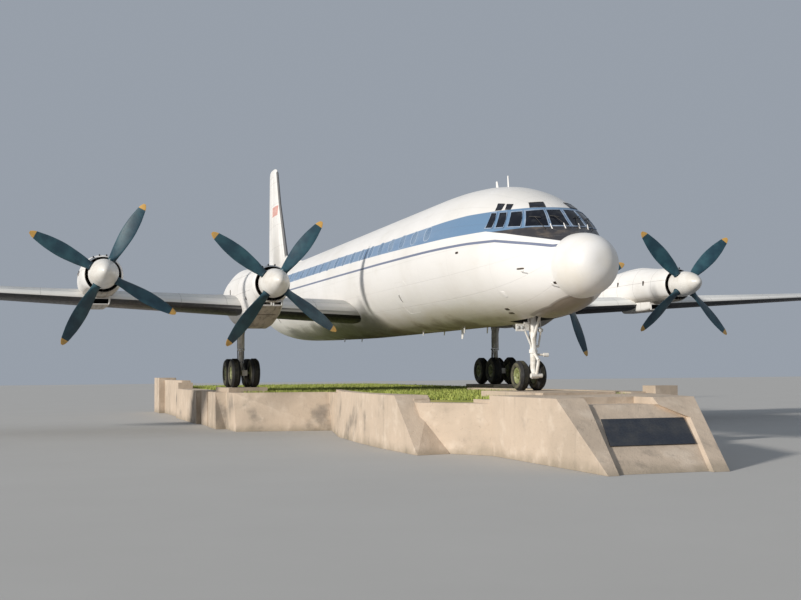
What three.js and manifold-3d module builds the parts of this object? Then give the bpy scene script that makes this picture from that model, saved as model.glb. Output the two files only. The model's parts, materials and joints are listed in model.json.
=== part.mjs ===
// Narrow body four-engined propeller airliner parked on its gear on a low concrete plinth.
// Units are millimetres, +Z is up, the nose points along -Y and the left wing along +X.
// The origin lies on the plinth's underside, on the plane of symmetry, below the main gear.
import * as THREE from 'three';
import { mergeVertices } from 'three/addons/utils/BufferGeometryUtils.js';
import Module from 'manifold-3d';

const wasm = await Module();
wasm.setup();

// Driving dimensions
const PLINTH_HEIGHT = 1300;
const SEAT_GAP = 0.3;
const PIN_HOLE_SEGMENTS = 20;
const FUSELAGE_SEGMENTS = 36;
const WING_HALF_SPAN = 18700;
const WING_CENTRE_CHORD = 5610;
const WING_TIP_CHORD = 1870;
const WING_LEADING_EDGE_Y = -3400;
const WING_LEADING_EDGE_SLOPE = 0.13;
const WING_ROOT_HEIGHT = PLINTH_HEIGHT + 2250;
const WING_DIHEDRAL_SLOPE = 0.0524;
const WING_ROOT_THICKNESS = 0.14;
const WING_TIP_THICKNESS = 0.12;
const WING_CAMBER = 0.02;
const FOIL_STEPS = 10;
const TRAILING_EDGE_THICKNESS = 14;
const RUDDER_HINGE_Y = 16150;
const TAILPLANE_HALF_SPAN = 5900;
const TAILPLANE_HEIGHT = PLINTH_HEIGHT + 3900;
const ELEVATOR_HINGE_Y = 15750;
const SURFACE_GAP = 10;
const HINGE_PIN_RADIUS = 24;
const PROP_RADIUS = 2250;
const SPINNER_RADIUS = 410;
const SPINNER_LENGTH = 885;
const SPINNER_BACK = 330;
const MAIN_GEAR_X = 4500;
const MAIN_TYRE_RADIUS = 465;
const MAIN_TYRE_WIDTH = 305;
const MAIN_TYRE_OFFSET = 310;
const MAIN_AXLE_SPREAD = 560;
const NOSE_GEAR_Y = -12710;
const NOSE_TRAIL = 280;
const NOSE_TYRE_RADIUS = 350;
const NOSE_TYRE_WIDTH = 250;
const NOSE_TYRE_OFFSET = 210;

// Paint and material looks
const PAINTS = {
  white: { color: 0xe9e6dc, roughness: 0.45, metalness: 0.0 },
  cream: { color: 0xe4dcc4, roughness: 0.5, metalness: 0.0 },
  grey: { color: 0xb9bcbc, roughness: 0.5, metalness: 0.2 },
  teal: { color: 0x1d4a5c, roughness: 0.5, metalness: 0.1 },
  steel: { color: 0x77797a, roughness: 0.4, metalness: 0.8 },
  green: { color: 0x5d7a3f, roughness: 0.6, metalness: 0.1 },
  rubber: { color: 0x1b1b1c, roughness: 0.9, metalness: 0.0 },
  concrete: { color: 0xb9ac97, roughness: 0.95, metalness: 0.0 },
  turf: { color: 0x55702f, roughness: 1.0, metalness: 0.0 },
  plaque: { color: 0x2b2d31, roughness: 0.6, metalness: 0.1 },
};

// Solids as manifolds
function volumeOf(positions, triangles) {
  let sum = 0;
  const corner = (index) => positions.slice(3 * index, 3 * index + 3);
  for (let i = 0; i < triangles.length; i += 3) {
    const [a, b, c] = [corner(triangles[i]), corner(triangles[i + 1]), corner(triangles[i + 2])];
    sum += a[0] * (b[1] * c[2] - b[2] * c[1]);
    sum += a[1] * (b[2] * c[0] - b[0] * c[2]);
    sum += a[2] * (b[0] * c[1] - b[1] * c[0]);
  }
  return sum / 6;
}

function solidFrom(positions, triangles) {
  if (volumeOf(positions, triangles) < 0) {
    for (let i = 0; i < triangles.length; i += 3) {
      [triangles[i], triangles[i + 1]] = [triangles[i + 1], triangles[i]];
    }
  }
  const mesh = new wasm.Mesh({
    numProp: 3,
    vertProperties: Float32Array.from(positions),
    triVerts: Uint32Array.from(triangles),
  });
  mesh.merge();
  return new wasm.Manifold(mesh);
}

function solidOf(geometry) {
  const bare = geometry.clone();
  bare.deleteAttribute('normal');
  bare.deleteAttribute('uv');
  const welded = mergeVertices(bare, 1e-3);
  return solidFrom(Array.from(welded.attributes.position.array), Array.from(welded.index.array));
}

// Skin through a row of closed rings with flat ends; a ring of one point closes to a tip.
function loft(rings) {
  const positions = [];
  const triangles = [];
  const starts = [];
  for (const ring of rings) {
    starts.push(positions.length / 3);
    for (const point of ring) {
      positions.push(...point);
    }
  }
  for (let i = 0; i + 1 < rings.length; i += 1) {
    const [near, far] = [rings[i], rings[i + 1]];
    const count = Math.max(near.length, far.length);
    for (let j = 0; j < count; j += 1) {
      const next = (j + 1) % count;
      if (near.length > 1) {
        triangles.push(starts[i] + j, starts[i] + next, starts[i + 1] + (far.length > 1 ? next : 0));
      }
      if (far.length > 1) {
        triangles.push(starts[i] + (near.length > 1 ? j : 0), starts[i + 1] + next, starts[i + 1] + j);
      }
    }
  }
  const close = (ringIndex, flip) => {
    const ring = rings[ringIndex];
    if (ring.length === 1) {
      return;
    }
    const centre = positions.length / 3;
    for (let axis = 0; axis < 3; axis += 1) {
      positions.push(ring.reduce((sum, point) => sum + point[axis], 0) / ring.length);
    }
    for (let j = 0; j < ring.length; j += 1) {
      const next = (j + 1) % ring.length;
      const [a, b] = flip ? [next, j] : [j, next];
      triangles.push(starts[ringIndex] + b, starts[ringIndex] + a, centre);
    }
  };
  close(0, false);
  close(rings.length - 1, true);
  return solidFrom(positions, triangles);
}

function box(width, depth, height, x, y, z) {
  const geometry = new THREE.BoxGeometry(width, depth, height);
  geometry.translate(x, y, z);
  return solidOf(geometry);
}

// Round bar between two points, with its own radius at each end
function bar(from, to, startRadius, endRadius = startRadius, segments = 10) {
  const start = new THREE.Vector3(...from);
  const end = new THREE.Vector3(...to);
  const direction = end.clone().sub(start);
  const geometry = new THREE.CylinderGeometry(endRadius, startRadius, direction.length(), segments);
  const turn = new THREE.Quaternion().setFromUnitVectors(
    new THREE.Vector3(0, 1, 0),
    direction.clone().normalize(),
  );
  geometry.applyQuaternion(turn);
  geometry.translate(...start.add(end).multiplyScalar(0.5).toArray());
  return solidOf(geometry);
}

// Round hole whose flats clear a round pin of the given radius by the seat gap
function pinHole(from, to, pinRadius) {
  const radius = (pinRadius + SEAT_GAP) / Math.cos(Math.PI / PIN_HOLE_SEGMENTS);
  return bar(from, to, radius, radius, PIN_HOLE_SEGMENTS);
}

// Profile of radius and distance pairs spun about the line through (x, z) along Y or X
function spun(profile, segments, axis, centre) {
  const points = profile.map(([radius, along]) => new THREE.Vector2(radius, along));
  const geometry = new THREE.LatheGeometry(points, segments);
  if (axis === 'x') {
    geometry.rotateZ(-Math.PI / 2);
  }
  geometry.translate(...centre);
  return solidOf(geometry);
}

// Plan outline raised from one height to another
function slab(outline, bottom, top) {
  const shape = new THREE.Shape(outline.map(([x, y]) => new THREE.Vector2(x, y)));
  const geometry = new THREE.ExtrudeGeometry(shape, { depth: top - bottom, bevelEnabled: false });
  geometry.translate(0, 0, bottom);
  return solidOf(geometry);
}

function union(solids) {
  return wasm.Manifold.union(solids);
}

const model = new THREE.Group();
model.name = 'airliner';

function addPiece(name, solid, paint) {
  const mesh = solid.getMesh();
  const geometry = new THREE.BufferGeometry();
  const stride = mesh.numProp;
  const positions = new Float32Array((mesh.vertProperties.length / stride) * 3);
  for (let i = 0; i < positions.length / 3; i += 1) {
    for (let axis = 0; axis < 3; axis += 1) {
      positions[3 * i + axis] = mesh.vertProperties[stride * i + axis];
    }
  }
  geometry.setAttribute('position', new THREE.BufferAttribute(positions, 3));
  geometry.setIndex(new THREE.BufferAttribute(Uint32Array.from(mesh.triVerts), 1));
  const piece = new THREE.Mesh(geometry, new THREE.MeshStandardMaterial(PAINTS[paint]));
  piece.name = name;
  model.add(piece);
}

// Wing-like sections
function foilHalf(fraction) {
  const x = Math.min(Math.max(fraction, 0), 1);
  const root = 0.2969 * Math.sqrt(x);
  return 5 * (root - 0.126 * x - 0.3516 * x ** 2 + 0.2843 * x ** 3 - 0.1015 * x ** 4);
}

// Loop of (fraction of chord, height) pairs from the upper trailing edge round the nose
function foilLoop(chord, thickness, camber) {
  const loop = [];
  const edge = TRAILING_EDGE_THICKNESS / 2;
  for (let side = 1; side >= -1; side -= 2) {
    for (let i = 0; i <= FOIL_STEPS; i += 1) {
      const step = side > 0 ? FOIL_STEPS - i : i;
      if (side < 0 && step === 0) {
        continue;
      }
      const x = 1 - Math.cos((step / FOIL_STEPS) * (Math.PI / 2));
      const mean = camber * 4 * x * (1 - x) * chord;
      const half = foilHalf(x) * thickness * chord + edge * x;
      loop.push([x * chord, mean + side * half]);
    }
  }
  return loop;
}

function wingChord(x) {
  return WING_CENTRE_CHORD + (WING_TIP_CHORD - WING_CENTRE_CHORD) * (x / WING_HALF_SPAN);
}

function wingThickness(x) {
  return WING_ROOT_THICKNESS + (WING_TIP_THICKNESS - WING_ROOT_THICKNESS) * (x / WING_HALF_SPAN);
}

function wingLeadingEdge(x) {
  return WING_LEADING_EDGE_Y + WING_LEADING_EDGE_SLOPE * x;
}

function wingHeight(x) {
  return WING_ROOT_HEIGHT + WING_DIHEDRAL_SLOPE * x;
}

// Left wing from the plane of symmetry to its rounded tip, grown all round by a small amount
const WING_STATIONS = [
  // x, share of chord kept, share of thickness kept
  { x: 0, chord: 1, thick: 1 },
  { x: 18250, chord: 1, thick: 1 },
  { x: 18480, chord: 0.93, thick: 0.8 },
  { x: 18640, chord: 0.8, thick: 0.5 },
  { x: WING_HALF_SPAN, chord: 0.62, thick: 0.18 },
];

function wholeWing(grow) {
  const rings = WING_STATIONS.map(({ x, chord, thick }) => {
    const full = wingChord(x);
    const kept = full * chord;
    const nose = wingLeadingEdge(x) + (full - kept) * 0.6;
    const loop = foilLoop(kept, (wingThickness(x) * thick) / chord, WING_CAMBER);
    const middle = kept / 2;
    return loop.map(([along, height]) => [
      x,
      nose + along + grow * Math.sign(along - middle),
      wingHeight(x) + height + grow * Math.sign(height),
    ]);
  });
  return loft(rings);
}

// Fuselage rings: heights are above the plane the wheels stand on
const FUSELAGE_RINGS = [
  { y: -15450, top: 3370, bottom: 1985, half: 690, wide: 2675 },
  { y: -15250, top: 3460, bottom: 1880, half: 800, wide: 2685 },
  { y: -15050, top: 3590, bottom: 1815, half: 890, wide: 2700 },
  { y: -14850, top: 3750, bottom: 1765, half: 995, wide: 2730 },
  { y: -14600, top: 3970, bottom: 1715, half: 1105, wide: 2775 },
  { y: -14200, top: 4225, bottom: 1665, half: 1245, wide: 2850 },
  { y: -13700, top: 4440, bottom: 1625, half: 1380, wide: 2950 },
  { y: -13000, top: 4680, bottom: 1600, half: 1520, wide: 3070 },
  { y: -12200, top: 4870, bottom: 1588, half: 1630, wide: 3180 },
  { y: -11200, top: 5000, bottom: 1582, half: 1705, wide: 3270 },
  { y: -10000, top: 5065, bottom: 1580, half: 1740, wide: 3320 },
  { y: -9000, top: 5080, bottom: 1580, half: 1750, wide: 3330 },
  { y: -1000, top: 5080, bottom: 1590, half: 1750, wide: 3330 },
  { y: 3000, top: 5080, bottom: 1640, half: 1750, wide: 3340 },
  { y: 6700, top: 5080, bottom: 1710, half: 1750, wide: 3350 },
  { y: 9000, top: 5070, bottom: 1780, half: 1725, wide: 3400 },
  { y: 11000, top: 5045, bottom: 1940, half: 1620, wide: 3480 },
  { y: 13000, top: 4980, bottom: 2290, half: 1410, wide: 3630 },
  { y: 15000, top: 4880, bottom: 2780, half: 1110, wide: 3830 },
  { y: 16800, top: 4750, bottom: 3260, half: 790, wide: 4010 },
  { y: 18200, top: 4600, bottom: 3670, half: 480, wide: 4140 },
  { y: 19100, top: 4440, bottom: 3970, half: 260, wide: 4190 },
  { y: 19430, top: 4310, bottom: 4080, half: 130, wide: 4190 },
];
const TAIL_TIP = [0, 19550, PLINTH_HEIGHT + 4190];

function fuselageRing({ y, top, bottom, half, wide }, grow) {
  const ring = [];
  for (let i = 0; i < FUSELAGE_SEGMENTS; i += 1) {
    const angle = (i / FUSELAGE_SEGMENTS) * 2 * Math.PI;
    const rise = Math.sin(angle) > 0 ? top - wide : wide - bottom;
    ring.push([
      (half + grow) * Math.cos(angle),
      y,
      PLINTH_HEIGHT + wide + (rise + grow) * Math.sin(angle),
    ]);
  }
  return ring;
}

function wholeFuselage(grow) {
  const rings = FUSELAGE_RINGS.map((row) => fuselageRing(row, grow));
  return loft([...rings, [TAIL_TIP]]);
}

const fuselageSkin = wholeFuselage(0);
const fuselageGrown = wholeFuselage(SEAT_GAP);

// Nose gear bay in the belly
const NOSE_BAY = { halfWidth: 330, front: -13900, back: -12420, ceiling: PLINTH_HEIGHT + 2100 };
const noseBay = box(
  2 * NOSE_BAY.halfWidth,
  NOSE_BAY.back - NOSE_BAY.front,
  1000,
  0,
  (NOSE_BAY.back + NOSE_BAY.front) / 2,
  NOSE_BAY.ceiling - 500,
);

// Blade aerials on the crown and under the belly: root height, tip height and sweep of the tip
const AERIALS = [
  { y: -11700, root: 4900, tip: 5230, chord: 170, sweep: 60 },
  { y: -11020, root: 4960, tip: 5350, chord: 180, sweep: 80 },
  { y: -8500, root: 1640, tip: 1330, chord: 200, sweep: 60 },
];
const AERIAL_HALF_THICKNESS = 22;

function aerial({ y, root, tip, chord, sweep }) {
  const ring = (height, length, shift, half) => [
    [0, y + shift - length / 2, PLINTH_HEIGHT + height],
    [half, y + shift, PLINTH_HEIGHT + height],
    [0, y + shift + length / 2, PLINTH_HEIGHT + height],
    [-half, y + shift, PLINTH_HEIGHT + height],
  ];
  return loft([
    ring(root, chord, 0, AERIAL_HALF_THICKNESS),
    ring(tip, chord * 0.55, sweep, AERIAL_HALF_THICKNESS * 0.6),
  ]);
}
const fuselageBody = union([fuselageSkin, ...AERIALS.map(aerial)]);
addPiece('fuselage', fuselageBody.subtract(noseBay), 'white');

// Radome: a blunt ball on the fuselage's first ring
const RADOME_LENGTH = 980;
const RADOME_BLUNTNESS = 0.75;
const RADOME_STEPS = 7;
function radome() {
  const base = FUSELAGE_RINGS[0];
  const rings = [];
  for (let i = 0; i < RADOME_STEPS; i += 1) {
    const angle = (i / RADOME_STEPS) * (Math.PI / 2);
    const size = Math.cos(angle) ** RADOME_BLUNTNESS;
    const { wide } = base;
    rings.push(fuselageRing({
      y: base.y - SEAT_GAP - (RADOME_LENGTH - SEAT_GAP) * Math.sin(angle),
      top: wide + (base.top - base.wide) * size,
      bottom: wide - (base.wide - base.bottom) * size,
      half: base.half * size,
      wide,
    }, 0));
  }
  rings.push([[0, base.y - RADOME_LENGTH, PLINTH_HEIGHT + base.wide]]);
  return loft(rings);
}
addPiece('radome', radome(), 'white');

// Hinged surface cut from a full section: frame at the hinge's inner end, X' along the hinge
function hingeFrame(start, end, up) {
  const along = new THREE.Vector3().subVectors(new THREE.Vector3(...end), new THREE.Vector3(...start));
  const length = along.length();
  along.normalize();
  const aft = new THREE.Vector3().crossVectors(new THREE.Vector3(...up), along).normalize();
  if (aft.y < 0) {
    aft.negate();
  }
  const normal = new THREE.Vector3().crossVectors(along, aft);
  const matrix = new THREE.Matrix4().makeBasis(along, aft, normal);
  matrix.setPosition(...start);
  return { matrix, length };
}

function splitSurface(whole, { start, end, up, startRadius, endRadius }) {
  const { matrix, length } = hingeFrame(start, end, up);
  const place = (geometry) => {
    geometry.applyMatrix4(matrix);
    return solidOf(geometry);
  };
  const regionAt = (inset) => {
    const geometry = new THREE.BoxGeometry(length - 2 * inset, 3000, 1400);
    geometry.translate(length / 2, 1500, 0);
    return place(geometry);
  };
  const roundNose = (grow, inset) => {
    const slope = (endRadius - startRadius) / length;
    const first = startRadius + slope * inset + grow;
    const last = endRadius - slope * inset + grow;
    const geometry = new THREE.CylinderGeometry(last, first, length - 2 * inset, 24);
    geometry.rotateZ(-Math.PI / 2);
    geometry.translate(length / 2, 0, 0);
    return place(geometry);
  };
  const pin = new THREE.CylinderGeometry(HINGE_PIN_RADIUS, HINGE_PIN_RADIUS, length - 2 * SEAT_GAP, 12);
  pin.rotateZ(-Math.PI / 2);
  pin.translate(length / 2, 0, 0);
  const moving = union([
    whole.intersect(regionAt(SURFACE_GAP)),
    roundNose(0, SURFACE_GAP),
    place(pin),
  ]);
  const fixed = whole.subtract(regionAt(0)).subtract(roundNose(SURFACE_GAP, 0));
  return { moving, fixed };
}

// Wings with ailerons
const AILERON = { inner: 12300, outer: 18100, hinge: 0.74 };
function wingHinge(x) {
  const share = AILERON.hinge;
  const chord = wingChord(x);
  const mean = WING_CAMBER * 4 * share * (1 - share) * chord;
  const half = foilHalf(share) * wingThickness(x) * chord + (TRAILING_EDGE_THICKNESS / 2) * share;
  return { point: [x, wingLeadingEdge(x) + share * chord, wingHeight(x) + mean], half };
}
const innerHinge = wingHinge(AILERON.inner);
const outerHinge = wingHinge(AILERON.outer);
const leftWing = splitSurface(wholeWing(0), {
  start: innerHinge.point,
  end: outerHinge.point,
  up: [0, 0, 1],
  startRadius: innerHinge.half + 1,
  endRadius: outerHinge.half + 1,
});
const wingGrown = wholeWing(SEAT_GAP);
addPiece('wing_left', leftWing.fixed.subtract(fuselageGrown), 'grey');
addPiece('wing_right', leftWing.fixed.mirror([1, 0, 0]).subtract(fuselageGrown), 'grey');
addPiece('aileron_left', leftWing.moving, 'grey');
addPiece('aileron_right', leftWing.moving.mirror([1, 0, 0]), 'grey');

// Fin with dorsal fillet and rudder: heights are above the plane the wheels stand on
const FIN_SECTIONS = [
  { height: 4600, front: 12930, back: 17500, thick: 490 },
  { height: 6560, front: 13980, back: 17460, thick: 351 },
  { height: 8340, front: 14930, back: 17400, thick: 247 },
  { height: 9910, front: 15520, back: 17310, thick: 190 },
  { height: 10090, front: 15760, back: 17220, thick: 130 },
  { height: 10170, front: 16150, back: 17030, thick: 40 },
];
const DORSAL_SECTIONS = [
  { height: 4700, front: 8300, back: 14500, thick: 300 },
  { height: 5060, front: 8900, back: 14500, thick: 240 },
  { height: 5480, front: 12500, back: 14600, thick: 150 },
  { height: 5760, front: 13480, back: 14650, thick: 60 },
];

function standingRing({ height, front, back, thick }) {
  const chord = back - front;
  return foilLoop(chord, thick / chord, 0).map(([along, side]) => [
    side,
    front + along,
    PLINTH_HEIGHT + height,
  ]);
}

function finHalfAt(height, y) {
  const upper = FIN_SECTIONS.findIndex((row) => row.height >= height);
  const [a, b] = [FIN_SECTIONS[upper - 1], FIN_SECTIONS[upper]];
  const share = (height - a.height) / (b.height - a.height);
  const halfOf = ({ front, back, thick }) => {
    const fraction = (y - front) / (back - front);
    return foilHalf(fraction) * thick + (TRAILING_EDGE_THICKNESS / 2) * fraction;
  };
  return halfOf(a) + (halfOf(b) - halfOf(a)) * share;
}

const RUDDER = { foot: 5350, head: 9780 };
const fullFin = union([loft(FIN_SECTIONS.map(standingRing)), loft(DORSAL_SECTIONS.map(standingRing))]);
const tailFin = splitSurface(fullFin, {
  start: [0, RUDDER_HINGE_Y, PLINTH_HEIGHT + RUDDER.foot],
  end: [0, RUDDER_HINGE_Y, PLINTH_HEIGHT + RUDDER.head],
  up: [1, 0, 0],
  startRadius: finHalfAt(RUDDER.foot, RUDDER_HINGE_Y) + 1,
  endRadius: finHalfAt(RUDDER.head, RUDDER_HINGE_Y) + 1,
});
addPiece('fin', tailFin.fixed.subtract(fuselageGrown), 'white');
addPiece('rudder', tailFin.moving, 'white');

// Tailplanes and elevators
const TAILPLANE_SECTIONS = [
  { x: 300, front: 13580, back: 16980, thick: 0.11 },
  { x: 5700, front: 14810, back: 16370, thick: 0.1 },
  { x: 5840, front: 14980, back: 16290, thick: 0.07 },
  { x: TAILPLANE_HALF_SPAN, front: 15250, back: 16120, thick: 0.03 },
];
const ELEVATOR = { inner: 1200, outer: 5560 };

function tailplaneHalfAt(x) {
  const [a, b] = TAILPLANE_SECTIONS;
  const share = (x - a.x) / (b.x - a.x);
  const halfOf = ({ front, back, thick }) => {
    const fraction = (ELEVATOR_HINGE_Y - front) / (back - front);
    return foilHalf(fraction) * thick * (back - front) + (TRAILING_EDGE_THICKNESS / 2) * fraction;
  };
  return halfOf(a) + (halfOf(b) - halfOf(a)) * share;
}

function wholeTailplane() {
  return loft(TAILPLANE_SECTIONS.map(({ x, front, back, thick }) => {
    const loop = foilLoop(back - front, thick, 0);
    return loop.map(([along, height]) => [x, front + along, TAILPLANE_HEIGHT + height]);
  }));
}

const leftTailplane = splitSurface(wholeTailplane(), {
  start: [ELEVATOR.inner, ELEVATOR_HINGE_Y, TAILPLANE_HEIGHT],
  end: [ELEVATOR.outer, ELEVATOR_HINGE_Y, TAILPLANE_HEIGHT],
  up: [0, 0, 1],
  startRadius: tailplaneHalfAt(ELEVATOR.inner) + 1,
  endRadius: tailplaneHalfAt(ELEVATOR.outer) + 1,
});
addPiece('tailplane_left', leftTailplane.fixed.subtract(fuselageGrown), 'white');
addPiece('tailplane_right', leftTailplane.fixed.mirror([1, 0, 0]).subtract(fuselageGrown), 'white');
addPiece('elevator_left', leftTailplane.moving, 'white');
addPiece('elevator_right', leftTailplane.moving.mirror([1, 0, 0]), 'white');

// Engines: places of the four propeller hubs and the turn at which each one stopped
const ENGINES = [
  { number: 1, x: 9160, y: -4820, height: 3240, phase: 43.0, inner: false },
  { number: 2, x: 4500, y: -5440, height: 3010, phase: 20.0, inner: true },
  { number: 3, x: -4500, y: -5440, height: 3010, phase: 52.4, inner: true },
  { number: 4, x: -9160, y: -4820, height: 3240, phase: 60.8, inner: false },
];

// Nacelle rings behind the hub: distance, half width, top and bottom about the shaft line
const INNER_NACELLE = [
  { behind: 370, half: 500, top: 500, bottom: -500 },
  { behind: 520, half: 550, top: 550, bottom: -570 },
  { behind: 900, half: 558, top: 560, bottom: -690 },
  { behind: 1600, half: 556, top: 575, bottom: -840 },
  { behind: 2700, half: 552, top: 630, bottom: -1020 },
  { behind: 4300, half: 545, top: 735, bottom: -1090 },
  { behind: 5600, half: 500, top: 590, bottom: -1000 },
  { behind: 6700, half: 390, top: 390, bottom: -700 },
  { behind: 7500, half: 265, top: 240, bottom: -350 },
];
const OUTER_NACELLE = [
  { behind: 370, half: 500, top: 500, bottom: -500 },
  { behind: 520, half: 560, top: 560, bottom: -545 },
  { behind: 900, half: 592, top: 590, bottom: -560 },
  { behind: 1500, half: 608, top: 618, bottom: -562 },
  { behind: 2800, half: 600, top: 750, bottom: -555 },
  { behind: 4500, half: 500, top: 650, bottom: -540 },
  { behind: 5600, half: 370, top: 430, bottom: -480 },
  { behind: 6500, half: 260, top: 230, bottom: -310 },
];
const NACELLE_SEGMENTS = 20;
const BAY_SEGMENTS = 20;
const INTAKE_RADIUS = 482;
const ENGINE_BAY_BACK = 2560;
const HUB = { radius: 250, front: -150, back: 150 };
const EXHAUST = { radius: 185, depth: 500, drop: 35 };
const ENGINE_BLOCK = { radius: 400, front: 420, back: 2480, shaft: 150 };

function nacelle(table, cooler) {
  const rings = table.map(({ behind, half, top, bottom }) => {
    const ring = [];
    for (let i = 0; i < NACELLE_SEGMENTS; i += 1) {
      const angle = (i / NACELLE_SEGMENTS) * 2 * Math.PI;
      const rise = Math.sin(angle) > 0 ? top : -bottom;
      ring.push([half * Math.cos(angle), behind, rise * Math.sin(angle)]);
    }
    return ring;
  });
  const bay = bar([0, 100, 0], [0, ENGINE_BAY_BACK, 0], INTAKE_RADIUS, INTAKE_RADIUS, BAY_SEGMENTS);
  const back = table[table.length - 1].behind;
  const { radius, depth, drop } = EXHAUST;
  const outlet = bar([0, back - depth, -drop], [0, back + 100, -drop], radius, radius, BAY_SEGMENTS);
  return loft(rings).add(cooler.body).subtract(union([bay, outlet, cooler.holes]));
}

// Cooler chins under the nacelles with their mouths, in the same distances as the nacelle rings
const INNER_CHIN = {
  rings: [
    { behind: 450, half: 330, top: -400, bottom: -640 },
    { behind: 900, half: 400, top: -430, bottom: -760 },
    { behind: 1500, half: 430, top: -450, bottom: -930 },
    { behind: 2300, half: 430, top: -500, bottom: -1120 },
    { behind: 2950, half: 420, top: -500, bottom: -1190 },
  ],
  mouths: [-130, 170],
  mouth: { width: 200, top: -520, bottom: -600, depth: 200 },
};
const OUTER_CHIN = {
  rings: [
    { behind: 1720, half: 290, top: -420, bottom: -760 },
    { behind: 2300, half: 305, top: -420, bottom: -800 },
    { behind: 3670, half: 290, top: -420, bottom: -800 },
  ],
  mouths: [0],
  mouth: { width: 470, top: -590, bottom: -735, depth: 330 },
};
const CHIN_CHAMFER = 90;

function chin({ rings, mouths, mouth }) {
  const body = loft(rings.map(({ behind, half, top, bottom }) => [
    [-half, behind, top],
    [half, behind, top],
    [half, behind, bottom + CHIN_CHAMFER],
    [half - CHIN_CHAMFER, behind, bottom],
    [-half + CHIN_CHAMFER, behind, bottom],
    [-half, behind, bottom + CHIN_CHAMFER],
  ]));
  const holes = mouths.map((x) => box(
    mouth.width,
    2 * mouth.depth,
    mouth.top - mouth.bottom,
    x,
    rings[0].behind,
    (mouth.top + mouth.bottom) / 2,
  ));
  return { body, holes: union(holes) };
}

// Engine as one plain block on a mounting ring that reaches the bay's wall
function engineBlock() {
  const { radius, front, back, shaft } = ENGINE_BLOCK;
  const shaftFront = HUB.back + SEAT_GAP;
  const seat = INTAKE_RADIUS - SEAT_GAP;
  const profile = [
    [0, shaftFront],
    [shaft, shaftFront],
    [shaft, front],
    [radius, front + 200],
    [radius, 1200],
    [seat, 1200],
    [seat, 1280],
    [radius, 1280],
    [radius, back],
    [0, back],
  ];
  return spun(profile, BAY_SEGMENTS, 'y', [0, 0, 0]);
}

// Propeller: stations from the root outwards
const BLADE_STATIONS = [
  { radius: 120, chord: 210, thick: 210, pitch: 45 },
  { radius: 400, chord: 220, thick: 205, pitch: 45 },
  { radius: 560, chord: 320, thick: 130, pitch: 45 },
  { radius: 850, chord: 420, thick: 75, pitch: 41 },
  { radius: 1250, chord: 465, thick: 52, pitch: 34 },
  { radius: 1650, chord: 400, thick: 36, pitch: 28 },
  { radius: 1950, chord: 290, thick: 25, pitch: 25 },
  { radius: 2150, chord: 190, thick: 16, pitch: 23 },
  { radius: PROP_RADIUS, chord: 70, thick: 10, pitch: 22 },
];
const BLADE_POINTS = 8;

function blade() {
  const rings = BLADE_STATIONS.map(({ radius, chord, thick, pitch }) => {
    const ring = [];
    const turn = THREE.MathUtils.degToRad(pitch);
    for (let i = 0; i < BLADE_POINTS; i += 1) {
      const angle = (i / BLADE_POINTS) * 2 * Math.PI;
      const across = (chord / 2) * Math.cos(angle);
      const through = (thick / 2) * Math.sin(angle);
      ring.push([
        radius,
        across * Math.sin(turn) + through * Math.cos(turn),
        across * Math.cos(turn) - through * Math.sin(turn),
      ]);
    }
    return ring;
  });
  return loft(rings);
}

function bladeSet(phase) {
  const hub = bar([0, HUB.front, 0], [0, HUB.back, 0], HUB.radius, HUB.radius, 16);
  const blades = [0, 90, 180, 270].map((turn) => blade().rotate([0, -(phase + turn), 0]));
  return union([hub, ...blades]);
}

function spinner(phase) {
  const profile = [
    [0, -SPINNER_LENGTH],
    [90, -845],
    [190, -720],
    [280, -540],
    [350, -320],
    [392, -100],
    [SPINNER_RADIUS, 80],
    [SPINNER_RADIUS, SPINNER_BACK],
    [0, SPINNER_BACK],
  ];
  const body = spun(profile, 20, 'y', [0, 0, 0]);
  const clearance = SEAT_GAP;
  const hubHole = bar([0, HUB.front - clearance, 0], [0, 400, 0], HUB.radius + clearance, HUB.radius + clearance, 16);
  const shanks = [0, 90, 180, 270].map((turn) => (
    bar([0, 0, 0], [1000, 0, 0], 122, 122, 12).rotate([0, -(phase + turn), 0])
  ));
  return body.subtract(hubHole).subtract(union(shanks));
}

const wingPair = { left: wingGrown, right: wingGrown.mirror([1, 0, 0]) };
const MAIN_LEG_POCKET = { half: 260, ceiling: PLINTH_HEIGHT + 2280 };
for (const engine of ENGINES) {
  const place = [engine.x, engine.y, PLINTH_HEIGHT + engine.height];
  const side = engine.x > 0 ? 'left' : 'right';
  const cooler = chin(engine.inner ? INNER_CHIN : OUTER_CHIN);
  let shell = nacelle(engine.inner ? INNER_NACELLE : OUTER_NACELLE, cooler).translate(place);
  shell = shell.subtract(wingPair[side]);
  if (engine.inner) {
    const { half, ceiling } = MAIN_LEG_POCKET;
    shell = shell.subtract(box(2 * half, 2 * half, 1000, engine.x, 0, ceiling - 500));
  }
  addPiece(`nacelle_${engine.number}`, shell, 'white');
  addPiece(`engine_${engine.number}`, engineBlock().translate(place), 'steel');
  addPiece(`propeller_${engine.number}`, bladeSet(engine.phase).translate(place), 'teal');
  addPiece(`spinner_${engine.number}`, spinner(engine.phase).translate(place), 'cream');
}

// Tyres and hubs about an axle along X
const TYRE_SEGMENTS = 20;
function tyre(radius, width, rim, x, y, z) {
  const half = width / 2;
  const profile = [
    [rim, -half * 0.72],
    [rim + (radius - rim) * 0.45, -half],
    [radius - half * 0.42, -half * 0.92],
    [radius, -half * 0.45],
    [radius, half * 0.45],
    [radius - half * 0.42, half * 0.92],
    [rim + (radius - rim) * 0.45, half],
    [rim, half * 0.72],
    [rim, -half * 0.72],
  ];
  return spun(profile, TYRE_SEGMENTS, 'x', [x, y, z]);
}

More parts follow.
